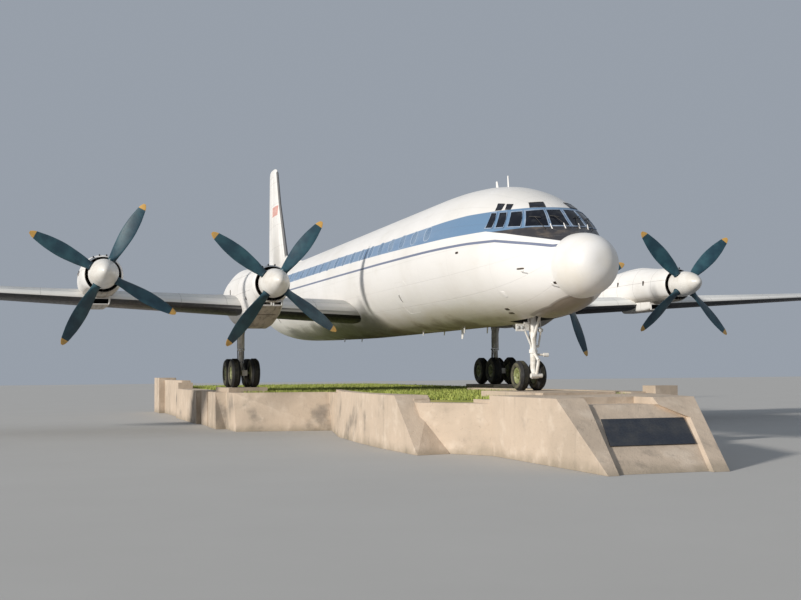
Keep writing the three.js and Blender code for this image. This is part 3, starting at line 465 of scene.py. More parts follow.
def weathered_white(g, broad, patches, streaks, washed):
    """White paint that ages in broad patches and is dusty in streaks."""
    g.base(g.ramp(broad, *patches), WHITE, AGED_WHITE)
    g.coat(g.ramp(streaks, *washed), DUST)


def plate_relief(g, fine, grain, joints, rows, heads):
    """Height for the bump: fine grain, sunk joints and rows of rivet heads."""
    height = g.minus(g.times(fine, grain), joints)
    return g.plus(height, g.times(g.rivets(rows), heads))


def skin_paint():
    """Airliner skin: white roof, faded blue window band, thin line, belly darkened by grime and painted
    shade, painted shade under the chin, painted shadow below the wing, brown dazzle panel.
    """
    g = Graph("skin_paint")
    z = g.minus(g.z, HP)
    fine = g.noise(9.0, 5)
    broad = g.noise(0.55, 4)
    streaks = g.noise(1.6, 5, (1.0, 0.55, 1.6))
    weathered_white(g, broad, (0.35, 0.75), streaks, (0.58, 0.85, 0, 0.22))
    # grime and painted shade that thicken toward the keel
    low = g.plus(z, g.times(g.minus(broad, 0.5), 0.7))
    low = g.plus(low, g.times(g.minus(streaks, 0.5), 0.5))
    behind_nose = g.ramp(g.y, -14.3, -12.6)
    tan = g.times(g.ramp(low, 2.26, 1.62), g.ramp(behind_nose, 0, 1, 0.4, 0.70))
    g.coat(tan, BELLY_TAN)
    keel = g.times(g.ramp(low, 1.80, 1.52, 0, 0.74), behind_nose)
    # painted shadow of the wing and nacelle on the fuselage flank below the wing
    dark_wash = g.times(g.ramp(low, 2.30, 1.95, 0, 0.72), g.ramp(g.y, -5.2, -3.6))
    dark_wash = g.times(dark_wash, g.ramp(g.y, 7.5, 9.5, 1.0, 0.0))
    g.coat(dark_wash, (0.105, 0.105, 0.100))
    # grime and painted shade, darkest along the keel
    g.coat(keel, BELLY_BROWN)
    # painted shade under the chin, with a dark painted line along its edge
    under_shade_edge = g.minus(g.curve(g.y, CHIN_SHADE_EDGE), z)
    at_chin = g.ramp(g.y, -13.7, -13.9)
    chin = g.times(g.ramp(under_shade_edge, -0.01, 0.01), at_chin)
    g.coat(g.times(chin, 0.80), BELLY_BROWN)
    chin_shade_line = g.times(g.ramp(g.math("ABSOLUTE", under_shade_edge), 0.012, 0.026, 1.0, 0.0), at_chin)
    # painted band, thin line and dazzle panel
    band = g.between(z, g.curve(g.y, BAND_FOOT), g.curve(g.y, BAND_TOP))
    band = g.times(band, g.ramp(g.y, 15.19, 15.21, 1.0, 0.0))
    blue = g.mix(g.ramp(g.noise(1.4, 5, (1, 0.6, 2)), 0.3, 0.75), BAND_BLUE, FADED_BLUE)
    blue = g.mix(g.ramp(g.y, -13.4, -8.5), NOSE_BLUE, blue)
    g.coat(band, blue)
    off_line = g.math("ABSOLUTE", g.minus(z, g.curve(g.y, THIN_LINE)))
    line = g.times(g.ramp(off_line, 0.026, 0.034, 1.0, 0.0), g.ramp(g.y, 14.9, 15.0, 1.0, 0.0))
    g.coat(line, LINE_BLUE)
    dazzle = g.times(band, g.ramp(z, 3.585, 3.565))
    dazzle = g.times(dazzle, g.ramp(g.y, -12.3, -12.6))
    scuffs = g.ramp(g.noise(4.0, 5, (1, 0.4, 2)), 0.45, 0.72)
    scuffed = g.mix(scuffs, DAZZLE_BROWN, (0.105, 0.085, 0.070))
    g.coat(dazzle, scuffed)
    # plate seams with rivet rows
    rings = g.lines(g.y, SKIN_RING_PITCH, 0.010)
    turn = g.math("ARCTAN2", g.minus(z, SKIN_MIDDLE), g.x)
    joints = g.either(rings, g.lines(turn, SKIN_SEAM_TURN, 0.006))
    g.coat(g.times(joints, 0.07), SEAM)
    # dark painted line along the edge of the chin's painted shade
    g.coat(g.times(chin_shade_line, 0.6), SEAM)
    rows = g.either(g.lines(g.y, SKIN_RING_PITCH, 0.07), g.lines(turn, SKIN_SEAM_TURN, 0.035))
    height = plate_relief(g, fine, 0.10, g.times(joints, 0.4), rows, 0.3)
    height = g.plus(height, g.times(g.noise(1.7, 2), 1.2))
    rough = g.ramp(g.plus(fine, g.times(keel, 0.5)), 0.3, 1.1, 0.30, 0.62)
    return g.finish(rough, height, 0.005)


def wing_paint(name, upper, lower, front, taper, chord, sweep):
    """Grey wing or tailplane skin: spar and rib seams, underside painted dark as shade, and a painted
    highlight on the upper side of the leading edge.
    """
    g = Graph(name)
    reach = g.math("ABSOLUTE", g.x)
    nose_line = g.plus(g.times(reach, sweep), front)
    width = g.plus(g.times(reach, -taper), chord)
    share = g.math("DIVIDE", g.minus(g.y, nose_line), width)
    fine = g.noise(14.0, 5)
    broad = g.noise(0.8, 5)
    streaks = g.noise(2.6, 5, (3.0, 0.30, 3.0))
    g.base(g.ramp(broad, 0.35, 0.72), upper, tuple(0.84 * c for c in upper))
    # painted shade: faces that look down take the dark lower colour, in streaky tones
    under = g.mix(g.ramp(streaks, 0.40, 0.70), lower, tuple(0.55 * c for c in lower))
    g.coat(g.facing_down(0.10, -0.15), under)
    g.coat(g.ramp(streaks, 0.55, 0.80, 0, 0.30), (0.22, 0.20, 0.17))
    # painted highlight on the upward-facing front of the leading edge
    front_edge_highlight = g.times(g.ramp(share, 0.055, 0.045), g.facing_down(-0.10, 0.12))
    g.coat(g.times(front_edge_highlight, 0.8), (0.76, 0.75, 0.72))
    spars = g.either(g.between(share, 0.118, 0.122, 0.001), g.between(share, 0.62, 0.625, 0.001))
    spars = g.either(spars, g.between(share, 0.053, 0.057, 0.001))
    joints = g.either(spars, g.lines(g.x, 1.35, 0.008))
    g.coat(g.times(joints, 0.45), (0.10, 0.095, 0.09))
    rows = g.either(g.lines(g.x, 1.35, 0.08), g.lines(g.x, 0.45, 0.02))
    height = plate_relief(g, fine, 0.12, joints, rows, 0.4)
    height = g.plus(height, g.times(g.noise(2.1, 2), 0.8))
    return g.finish(g.ramp(fine, 0.3, 0.75, 0.36, 0.60), height, 0.004)


def nacelle_paint():
    """White cowling: ring seams, sooty toward the exhaust, oil streaks, and an underside darkened by grime
    and painted shade.
    """
    g = Graph("nacelle_paint")
    fine = g.noise(14.0, 5)
    broad = g.noise(1.1, 5)
    streaks = g.noise(3.0, 5, (3.0, 0.28, 3.0))
    weathered_white(g, broad, (0.38, 0.75), streaks, (0.55, 0.85, 0, 0.30))
    # faces that look down are darkened by grime and painted shade
    under = g.facing_down(-0.45, -0.92)
    g.coat(g.times(under, 0.80), (0.33, 0.27, 0.19))
    oil = g.times(under, g.ramp(streaks, 0.48, 0.70))
    g.coat(g.times(oil, 0.7), (0.075, 0.055, 0.04))
    dark_wash = g.ramp(g.plus(g.y, g.times(streaks, 1.2)), 0.9, 2.6, 0, 0.65)
    g.coat(dark_wash, (0.12, 0.105, 0.09))
    joints = g.lines(g.y, 1.17, 0.010, 0.17)
    joints = g.either(joints, g.times(g.lines(g.z, 0.52, 0.007), g.ramp(g.y, -4.6, -4.5)))
    g.coat(g.times(joints, 0.50), SEAM)
    height = plate_relief(g, fine, 0.15, joints, g.lines(g.y, 1.17, 0.08, 0.17), 0.5)
    height = g.plus(height, g.times(g.noise(2.1, 2), 0.9))
    return g.finish(g.ramp(fine, 0.3, 0.75, 0.32, 0.58), height, 0.004)


def tail_paint():
    """White fin and rudder: dark boot line behind the leading edge and a plain faded red field."""
    g = Graph("tail_paint")
    z = g.minus(g.z, HP)
    fine = g.noise(14.0, 5)
    broad = g.noise(0.7, 5)
    streaks = g.noise(2.4, 5, (2.0, 2.0, 0.35))
    weathered_white(g, broad, (0.35, 0.75), streaks, (0.55, 0.82, 0, 0.30))
    front = g.curve(z, [(4.6, 12.93), (6.56, 13.98), (8.34, 14.93), (9.91, 15.52)])
    back = g.minus(g.y, front)
    boot = g.between(back, -0.05, 0.09, 0.008)
    boot = g.times(boot, g.ramp(z, 5.6, 5.8))
    g.coat(g.times(boot, 0.85), (0.045, 0.045, 0.05))
    field = g.times(g.between(g.y, 15.02, 16.20, 0.01), g.between(z, 7.82, 8.28, 0.01))
    faded = g.mix(g.ramp(g.noise(5.0, 5), 0.35, 0.70), (0.62, 0.24, 0.19), (0.72, 0.45, 0.38))
    g.coat(g.times(field, 0.85), faded)
    joints = g.either(g.lines(z, 1.05, 0.008), g.between(back, 0.60, 0.61, 0.002))
    g.coat(g.times(joints, 0.30), SEAM)
    height = plate_relief(g, fine, 0.12, joints, g.lines(z, 1.05, 0.07), 0.5)
    return g.finish(g.ramp(fine, 0.3, 0.75, 0.34, 0.58), height, 0.004)


def plain_paint(name, base, worn, scale=6.0, rough=(0.35, 0.6), metal=0.0, wear=0.35, distance=0.001):
    """Painted or cast part with blotches, scratches and grain at its own scale."""
    g = Graph(name)
    blotch = g.noise(scale, 6)
    fine = g.noise(scale * 9, 4)
    scratch = g.noise(scale * 3, 3, (1, 6, 1))
    g.base(g.ramp(blotch, 0.38, 0.70), base, worn)
    g.coat(g.ramp(scratch, 0.60, 0.78, 0, wear), tuple(0.45 * c for c in base))
    height = g.plus(g.times(fine, 0.6), blotch)
    return g.finish(g.ramp(fine, 0.3, 0.75, *rough), height, distance, metal)


def rubber(name):
    """Old tyre rubber with dust in blotches, thickest on the side walls."""
    g = Graph(name)
    dust = g.noise(7.0, 6)
    height = g.plus(g.noise(90.0, 3), dust)
    g.base(g.ramp(dust, 0.42, 0.74), (0.008, 0.008, 0.009), (0.030, 0.028, 0.025))
    sides = g.ramp(g.math("ABSOLUTE", g.facing(0)), 0.75, 0.95)
    g.coat(g.times(sides, g.ramp(dust, 0.35, 0.65, 0.3, 0.9)), (0.13, 0.12, 0.075))
    return g.finish(g.ramp(dust, 0.3, 0.7, 0.62, 0.9), height, 0.0012)


def concrete(name):
    """Weathered cast concrete: blotches, rain streaks, dark blotches low on the walls, damp foot and pits.
    """
    g = Graph(name)
    broad = g.noise(0.45, 6)
    middle = g.noise(2.6, 6)
    fine = g.noise(38.0, 4)
    rain = g.noise(1.7, 5, (2.2, 2.2, 0.20))
    g.base(g.ramp(broad, 0.36, 0.66), (0.575, 0.465, 0.36), (0.455, 0.37, 0.285))
    g.coat(g.ramp(middle, 0.50, 0.74, 0, 0.60), (0.68, 0.575, 0.465))
    g.coat(g.ramp(rain, 0.56, 0.80, 0, 0.55), (0.24, 0.205, 0.165))
    # dark blotches, low on the walls
    dark_wash = g.times(g.ramp(g.noise(0.9, 6), 0.54, 0.69), g.ramp(g.z, 1.25, 0.75))
    g.coat(g.times(dark_wash, 0.65), (0.15, 0.135, 0.12))
    foot = g.ramp(g.plus(g.z, g.times(middle, 0.35)), 0.42, 0.12)
    g.coat(g.times(foot, 0.5), (0.17, 0.15, 0.105))
    pits = g.ramp(g.cells(16.0), 0.0, 0.16, -1.0, 0.0)
    height = g.plus(g.times(fine, 0.35), g.times(pits, 0.7))
    height = g.plus(height, g.times(middle, 1.6))
    return g.finish(g.ramp(fine, 0.3, 0.7, 0.82, 0.97), height, 0.018)


def glass(name, tint, haze):
    """Dark pane: smooth, with a thin film of dust."""
    g = Graph(name)
    dust = g.noise(5.0, 5)
    g.base(g.ramp(dust, 0.45, 0.8, 0, haze), tint, (0.14, 0.145, 0.15))
    g.shader.inputs["Specular IOR Level"].default_value = 0.32
    return g.finish(g.ramp(dust, 0.3, 0.8, 0.05, 0.22), g.noise(2.5, 2), 0.001)


def grass_leaf(name):
    """Yellow-green blades that vary from tuft to tuft and dry out in patches."""
    g = Graph(name)
    tufts = g.noise(9.0, 4)
    patches = g.noise(0.8, 4)
    g.base(g.ramp(tufts, 0.32, 0.68), (0.20, 0.26, 0.04), (0.46, 0.50, 0.12))
    g.coat(g.ramp(patches, 0.55, 0.75, 0, 0.6), (0.50, 0.42, 0.16))
    return g.finish(g.ramp(tufts, 0.3, 0.7, 0.55, 0.8), tufts, 0.002)


SKIN = skin_paint()
COWLING = nacelle_paint()
TAIL = tail_paint()
# each sheet's second colour is its underside, painted dark as shade
WING_SHEET = wing_paint("wing_sheet", (0.68, 0.68, 0.66), (0.050, 0.050, 0.056), -3.4, 0.2, 5.61, 0.13)
TAILPLANE_SHEET = wing_paint("tailplane_sheet", (0.74, 0.72, 0.68), (0.24, 0.225, 0.20),
                             13.51, 0.34, 3.50, 0.228)
RADOME_WHITE = plain_paint("radome_white", WHITE, (0.78, 0.74, 0.67), 1.2, (0.28, 0.42), wear=0.10)
TRIM_WHITE = plain_paint("trim_white", WHITE, AGED_WHITE, 5.0, (0.35, 0.55), wear=0.25)
CREAM = plain_paint("spinner_cream", (0.76, 0.735, 0.69), (0.66, 0.62, 0.56), 3.0, (0.30, 0.5), wear=0.2)
BLADE = plain_paint("blade_teal", (0.010, 0.040, 0.062), (0.024, 0.080, 0.104), 2.6, (0.36, 0.56))
TIP_YELLOW = plain_paint("tip_yellow", (0.58, 0.33, 0.075), (0.46, 0.29, 0.10), 8.0, (0.4, 0.65), wear=0.45)
# gear enamel in two copies: darker for the main legs as painted shade, brighter for the nose gear as painted
# light
GEAR = plain_paint("gear_enamel", (0.66, 0.63, 0.56), (0.44, 0.40, 0.33), 7.0, (0.36, 0.62), wear=0.5)
NOSE_GEAR = plain_paint("nose_gear_enamel", (0.86, 0.84, 0.80), (0.66, 0.62, 0.55), 7.0, (0.34, 0.6))
STEEL = plain_paint("bright_steel", (0.62, 0.61, 0.59), (0.50, 0.49, 0.47), 20.0, (0.18, 0.35), 1.0)
BURNT = plain_paint("burnt_steel", (0.16, 0.125, 0.10), (0.07, 0.055, 0.05), 9.0, (0.35, 0.65), 0.8)
HUB_OLIVE = plain_paint("hub_olive", (0.20, 0.225, 0.085), (0.32, 0.33, 0.16), 9.0, (0.4, 0.65), wear=0.5)
TYRE = rubber("tyre_rubber")
HOSE = plain_paint("hose_rubber", (0.025, 0.024, 0.023), (0.06, 0.055, 0.05), 12.0, (0.5, 0.8))
CONCRETE = concrete("weathered_concrete")
PLAQUE = plain_paint("plaque_bronze", (0.030, 0.036, 0.050), (0.060, 0.062, 0.066), 3.0, (0.38, 0.66), 0.3)
TURF = plain_paint("turf_soil", (0.17, 0.19, 0.045), (0.24, 0.22, 0.08), 1.8, (0.85, 0.97), distance=0.02)
GRASS = grass_leaf("grass_leaf")
# near-black painted shade for the insides of bays, inlets and exhausts
RECESS_SHADE = plain_paint("painted_recess_shade", (0.020, 0.019, 0.018), (0.035, 0.032, 0.028), 4.0, (0.7, 0.9))
ENGINE = plain_paint("engine_dark", (0.035, 0.033, 0.030), (0.09, 0.08, 0.07), 7.0, (0.4, 0.7), 0.5)
GLASS = glass("cockpit_glass", (0.004, 0.005, 0.010), 0.16)
CABIN_GLASS = plain_paint("cabin_glass", (0.11, 0.19, 0.31), (0.19, 0.27, 0.38), 2.0, (0.22, 0.40), wear=0.2)
FRAME_PAINT = plain_paint("frame_paint", (0.20, 0.28, 0.40), (0.33, 0.40, 0.50), 5.0, (0.35, 0.55), wear=0.5)
# window rims painted pale as glints of light, some darker at random
WINDOW_RIM_AND_GLINT = plain_paint("window_rim_and_glint", (0.50, 0.56, 0.64), (0.22, 0.31, 0.44), 1.3, (0.35, 0.6), wear=0.2)
RED_LENS = glass("red_lens", (0.55, 0.02, 0.015), 0.1)
GREEN_LENS = glass("green_lens", (0.01, 0.32, 0.12), 0.1)
CLEAR_LENS = glass("clear_lens", (0.55, 0.56, 0.55), 0.3)


# Fuselage skin: y, top, bottom, half width, height of the widest line (heights above HP)

FUSELAGE = [
    (-15.450, 3.370, 1.985, 0.690, 2.675), (-15.250, 3.460, 1.880, 0.800, 2.685),
    (-15.050, 3.590, 1.815, 0.890, 2.700), (-14.850, 3.750, 1.765, 0.995, 2.730),
    (-14.600, 3.970, 1.715, 1.105, 2.775), (-14.200, 4.225, 1.665, 1.245, 2.850),
    (-13.700, 4.440, 1.625, 1.380, 2.950), (-13.000, 4.680, 1.600, 1.520, 3.070),
    (-12.200, 4.870, 1.588, 1.630, 3.180), (-11.200, 5.000, 1.582, 1.705, 3.270),
    (-10.000, 5.065, 1.580, 1.740, 3.320), (-9.000, 5.080, 1.580, 1.750, 3.330),
    (-1.000, 5.080, 1.590, 1.750, 3.330), (3.000, 5.080, 1.640, 1.750, 3.340),
    (6.700, 5.080, 1.710, 1.750, 3.350), (9.000, 5.070, 1.780, 1.725, 3.400),
    (11.000, 5.045, 1.940, 1.620, 3.480), (13.000, 4.980, 2.290, 1.410, 3.630),
    (15.000, 4.880, 2.780, 1.110, 3.830), (16.800, 4.750, 3.260, 0.790, 4.010),
    (18.200, 4.600, 3.670, 0.480, 4.140), (19.100, 4.440, 3.970, 0.260, 4.190),
    (19.430, 4.310, 4.080, 0.130, 4.190),
]
SKIN_TOP, SKIN_BOTTOM, SKIN_HALF, SKIN_WIDE = (fair(FUSELAGE, c) for c in (1, 2, 3, 4))
PARALLEL_FRONT = -9.0
PARALLEL_BACK = 9.0
NOSE_STEP = 0.10
MIDDLE_STEP = 0.5
TAIL_STEP = 0.2
TAIL_RINGS = 6
NOSE_FRONT = FUSELAGE[0][0]
TAIL_BACK = FUSELAGE[-1][0]
TAIL_TIP = 19.55
RADOME_LENGTH = 0.98
RADOME_BLUNTNESS = 0.75
RADOME_GAP = 0.0003
RADOME_RINGS = 46
SKIN_SEGMENTS = 144
SLOPE_STEP = 0.01
FRONT_STEPS = 1300
FRONT_PLACES = np.linspace(NOSE_FRONT, PARALLEL_FRONT, FRONT_STEPS)
FRONT_RISES = (SKIN_TOP(FRONT_PLACES) - SKIN_WIDE(FRONT_PLACES),
               SKIN_WIDE(FRONT_PLACES) - SKIN_BOTTOM(FRONT_PLACES))
FRONT_WIDE = SKIN_WIDE(FRONT_PLACES)
FRONT_HALF = SKIN_HALF(FRONT_PLACES)


def oval_ring(y, count, half, top, bottom, wide, x=0.0):
    """Ring across the Y axis: two half ellipses that meet at the height of the widest line."""
    ring = []
    for a in circle(count):
        rise = top - wide if math.sin(a) > 0 else wide - bottom
        ring.append((x + half * math.cos(a), float(y), HP + wide + rise * math.sin(a)))
    return ring


def skin_ring(y):
    return oval_ring(y, SKIN_SEGMENTS, SKIN_HALF(y), SKIN_TOP(y), SKIN_BOTTOM(y), SKIN_WIDE(y))


def shrunk_ring(row, y, size):
    """Ring at y in the proportions of a row of FUSELAGE, shrunk about its widest line."""
    _, top, bottom, half, wide = row
    return oval_ring(y, SKIN_SEGMENTS, half * size, wide + (top - wide) * size,
                     wide - (wide - bottom) * size, wide)


def lifted(raw, a, b, lift, outward):
    """Point raw(a, b) of a surface, moved by lift along the normal that looks the way of outward."""
    along_a = raw(a + SLOPE_STEP, b) - raw(a - SLOPE_STEP, b)
    along_b = raw(a, b + SLOPE_STEP) - raw(a, b - SLOPE_STEP)
    normal = along_a.cross(along_b).normalized()
    if normal.dot(outward) < 0:
        normal.negate()
    return raw(a, b) + normal * lift


def skin_point(y, z, side, lift=0.0):
    """Point on the fuselage side at height z above HP, moved out along the skin's normal."""
    def raw(y, z):
        wide = SKIN_WIDE(y)
        rise = SKIN_TOP(y) - wide if z > wide else wide - SKIN_BOTTOM(y)
        share = max(0.0, 1 - ((z - wide) / rise) ** 2)
        return Vector((side * SKIN_HALF(y) * math.sqrt(share), y, HP + z))
    return lifted(raw, y, z, lift, Vector((side, 0, 0)))


def front_point(x, z, lift=0.0):
    """Point on the nose skin seen from ahead at x and height z above HP."""
    def raw(x, z):
        rise = np.where(z > FRONT_WIDE, *FRONT_RISES)
        field = (x / FRONT_HALF) ** 2 + ((z - FRONT_WIDE) / rise) ** 2 - 1
        i = max(1, int(np.argmax(field < 0)))
        share = field[i - 1] / (field[i - 1] - field[i])
        y = FRONT_PLACES[i - 1] + share * (FRONT_PLACES[i] - FRONT_PLACES[i - 1])
        return Vector((x, y, HP + z))
    return lifted(raw, x, z, lift, Vector((0, -1, 0)))


# Open bay of the nose gear in the belly
BAY_HALF_WIDTH = 0.33
BAY_FRONT = -13.90
BAY_REAR = -12.42
BAY_CEILING = HP + 2.10
BAY_FOOT = HP + 1.0
# how near a face centre lies to a cut wall to count as on it
TOUCH = 0.001


def on_bay_wall(c):
    """Whether a face centre lies on one of the nose bay's five walls."""
    within = abs(c.x) < BAY_HALF_WIDTH + TOUCH and BAY_FRONT - TOUCH < c.y < BAY_REAR + TOUCH
    on_side = abs(abs(c.x) - BAY_HALF_WIDTH) < TOUCH or abs(c.z - BAY_CEILING) < TOUCH
    on_end = abs(c.y - BAY_FRONT) < TOUCH or abs(c.y - BAY_REAR) < TOUCH
    return within and c.z < BAY_CEILING + TOUCH and (on_side or on_end)


def fuselage():
    """Skin of the fuselage with a rounded tail end and the bay of the nose gear, whose walls are painted
    dark as shade.
    """
    places = list(np.arange(NOSE_FRONT, PARALLEL_FRONT, NOSE_STEP))
    places += list(np.arange(PARALLEL_FRONT, PARALLEL_BACK, MIDDLE_STEP))
    places += list(np.arange(PARALLEL_BACK, TAIL_BACK, TAIL_STEP)) + [TAIL_BACK]
    rings = [skin_ring(y) for y in places]
    for step in range(1, TAIL_RINGS):
        a = step / TAIL_RINGS * math.pi / 2
        y = TAIL_BACK + (TAIL_TIP - TAIL_BACK) * math.sin(a)
        rings.append(shrunk_ring(FUSELAGE[-1], y, math.cos(a)))
    shell = Batch()
    shell.loft(rings)
    body = shell.piece("fuselage_skin", [SKIN, RECESS_SHADE], "white_paint", 40)
    bay = Batch()
    bay.box((-BAY_HALF_WIDTH, BAY_FRONT, BAY_FOOT), (BAY_HALF_WIDTH, BAY_REAR, BAY_CEILING))
    cut_away(body, bay, 40)
    # the bay's walls take the painted shade
    paint_faces(body, 1, on_bay_wall)
    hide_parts("fuselage")


def radome():
    """Blunt nose cone on the front ring of the fuselage, with a thin seam between them."""
    front = NOSE_FRONT - RADOME_GAP
    length = RADOME_LENGTH - RADOME_GAP
    wide = FUSELAGE[0][4]
    rings = []
    for step in range(RADOME_RINGS):
        a = step / RADOME_RINGS * math.pi / 2
        rings.append(shrunk_ring(FUSELAGE[0], front - length * math.sin(a), math.cos(a) ** RADOME_BLUNTNESS))
    points = [p for ring in rings for p in ring] + [(0, front - length, HP + wide)]
    faces = stitched(rings, caps=False)
    last = (len(rings) - 1) * SKIN_SEGMENTS
    faces += [(last + j, last + (j + 1) % SKIN_SEGMENTS, len(points) - 1) for j in range(SKIN_SEGMENTS)]
    faces.append(tuple(range(SKIN_SEGMENTS)))
    piece = make_piece("radome_skin", points, faces, "airframe", RADOME_WHITE, 50)
    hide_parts("radome")


# Cockpit glazing: corners of each pane as (x, height above HP), for the aircraft's left

PANES = [
    [(0.035, 3.985), (0.335, 3.985), (0.405, 3.585), (0.035, 3.570)],
    [(0.385, 3.990), (0.690, 3.985), (0.850, 3.600), (0.465, 3.575)],
    [(0.745, 3.985), (0.900, 3.995), (1.070, 3.640), (0.905, 3.610)],
    [(0.945, 4.005), (1.035, 4.020), (1.205, 3.660), (1.115, 3.645)],
    [(1.065, 4.025), (1.120, 4.050), (1.305, 3.690), (1.235, 3.670)],
]
EYEBROWS = [
    [(0.26, 4.200), (0.50, 4.200), (0.57, 4.085), (0.31, 4.075)],
    [(0.76, 4.200), (0.835, 4.225), (0.915, 4.105), (0.855, 4.085)],
    [(0.855, 4.240), (0.925, 4.275), (1.035, 4.115), (0.965, 4.105)],
]
PANE_STEPS = 8
PANE_DEPTH = 0.02
FRAME_DEPTH = 0.03
# pane's lift over the skin, frame's width and frame's lift
COCKPIT_FIT = (0.004, 0.020, 0.014)
EYEBROW_FIT = (0.006, 0.014, 0.011)
# foot of the arm and middle of the blade, as (x, height above HP)
WIPERS = [((0.10, 3.50), (0.26, 3.80)), ((0.56, 3.50), (0.62, 3.80))]
WIPER_ARM = 0.007
WIPER_BLADE = 0.009
WIPER_REACH = 0.09
WIPER_SLANT = 0.02
POSTS = (0.17, 0.43)
POST_HEIGHTS = (3.51, 3.60)
POST_RADII = (0.016, 0.011)


def pane_grid(corners, side, lift, grow=0.0):
    """Rows of points of a pane on the nose skin, its corners moved out by grow."""
    middle = [sum(c[k] for c in corners) / 4 for k in (0, 1)]
    a, b, c, d = [(x + math.copysign(grow, x - middle[0]), z + math.copysign(grow, z - middle[1]))
                  for x, z in corners]
    rows = []
    for i in range(PANE_STEPS + 1):
        v = i / PANE_STEPS
        row = []
        for j in range(PANE_STEPS + 1):
            u = j / PANE_STEPS
            x, z = ((1 - v) * ((1 - u) * a[k] + u * b[k]) + v * ((1 - u) * d[k] + u * c[k]) for k in (0, 1))
            row.append(front_point(side * x, z, lift))
        rows.append(row)
    return rows


def border(rows):
    """Points round the edge of a square grid of points."""
    n = len(rows)
    line = [rows[0][j] for j in range(n)] + [rows[i][n - 1] for i in range(1, n)]
    line += [rows[n - 1][j] for j in range(n - 2, -1, -1)]
    return line + [rows[i][0] for i in range(n - 2, 0, -1)]


def add_pane(batch, corners, side, lift, depth):
    """Thin curved plate between lift and lift minus depth over the skin."""
    outer = pane_grid(corners, side, lift)
    inner = pane_grid(corners, side, lift - depth)
    n = len(outer)
    points = [p for row in outer for p in row] + [p for row in inner for p in row]
    index = [[i * n + j for j in range(n)] for i in range(n)]
    faces = []
    for i in range(n - 1):
        for j in range(n - 1):
            q = (i * n + j, i * n + j + 1, (i + 1) * n + j + 1, (i + 1) * n + j)
            faces.append(q)
            faces.append(tuple(n * n + k for k in reversed(q)))
    rim = border(index)
    for k, a in enumerate(rim):
        b = rim[(k + 1) % len(rim)]
        faces.append((a, b, n * n + b, n * n + a))
    batch.add(points, faces)


def add_rim(batch, corners, side, grow, lift, depth):
    """Frame round a pane, from the pane's edge out by grow."""
    loops = [border(pane_grid(corners, side, high, wide)) for high, wide in
             ((lift, 0.0), (lift, grow), (lift - depth, grow), (lift - depth, 0.0))]
    batch.hoop(loops)


def cockpit():
    """Panes with painted frames, the small panes above them in black seals, and the wipers."""
    panes, rims, seals = Batch(), Batch(), Batch()
    for _, side in SIDES:
        for table, frames, fit in ((PANES, rims, COCKPIT_FIT), (EYEBROWS, seals, EYEBROW_FIT)):
            pane_lift, grow, frame_lift = fit
            for corners in table:
                add_pane(panes, corners, side, pane_lift, PANE_DEPTH)
                add_rim(frames, corners, side, grow, frame_lift, FRAME_DEPTH)
    panes.piece("cockpit_panes", GLASS, "grey_paint", 30)
    rims.piece("cockpit_frames", FRAME_PAINT, "white_paint", 30)
    seals.piece("eyebrow_seals", HOSE, "grey_paint", 30)
    wipers, posts = Batch(), Batch()
    for _, side in SIDES:
        for (foot_x, foot_z), (head_x, head_z) in WIPERS:
            low = front_point(side * foot_x, foot_z, 0.03)
            high = front_point(side * head_x, head_z, 0.03)
            root = front_point(side * foot_x, foot_z, -0.01)
            wipers.tube([root, low, (low + high) / 2, high], WIPER_ARM)
            tip = front_point(side * (head_x - WIPER_REACH), head_z - WIPER_SLANT, 0.024)
            end = front_point(side * (head_x + WIPER_REACH), head_z + WIPER_SLANT, 0.024)
            wipers.tube([tip, high, end], WIPER_BLADE)
        for x in POSTS:
            foot = front_point(side * x, POST_HEIGHTS[0], -0.01)
            posts.rod(foot, front_point(side * x, POST_HEIGHTS[1], 0.045), *POST_RADII)
    wipers.piece("wipers", HOSE, "grey_paint")
    posts.piece("wiper_posts", TRIM_WHITE, "white_paint")


# Rounded outlines on the fuselage side: cabin windows, doors and hatches

WINDOW = {"half_width": 0.200, "half_height": 0.165, "first": -10.33, "count": 21, "roundness": 2.8}
WINDOW_LINE = (-10.5, 3.90, 0.0115)
WINDOW_RIM_LOOPS = ((1.10, -0.004), (1.09, 0.004), (1.03, 0.006), (1.0, 0.002))
WINDOW_PANE_LOOPS = ((1.0, -0.004), (1.0, 0.002), (0.6, 0.005), (0.2, 0.006))
DOORS = [
    # side, y of the middle, height of the middle, half width, half height
    (1, -11.55, 3.05, 0.38, 0.72), (1, 8.10, 3.10, 0.38, 0.72),
    (-1, -8.10, 2.45, 0.52, 0.42), (-1, 7.70, 2.55, 0.48, 0.38),
]
WINDOW_POINTS = 28
DOOR_POINTS = 64
DOOR_ROUNDNESS = 7
DOOR_EDGE = 0.011
DOOR_SUNK = -0.003
DOOR_PROUD = 0.0025
HANDLE_SHARE = 0.62
HANDLE_BEND = ((-0.09, -0.002), (-0.08, 0.020), (0.08, 0.020), (0.09, -0.002))
HANDLE_RADIUS = 0.010


def rounded_outline(count, width, height, power):
    """Rounded rectangle round the origin, the squarer the higher the power."""
    outline = []
    for a in circle(count):
        c, s = math.cos(a), math.sin(a)
        outline.append((width * math.copysign(abs(c) ** (2 / power), c),
                        height * math.copysign(abs(s) ** (2 / power), s)))
    return outline


def side_ring(y, z, side, outline, size, lift):
    """Outline laid on the fuselage side at y and height z, scaled by size and lifted off the skin."""
    return [skin_point(y + u * size, z + v * size, side, lift) for u, v in outline]


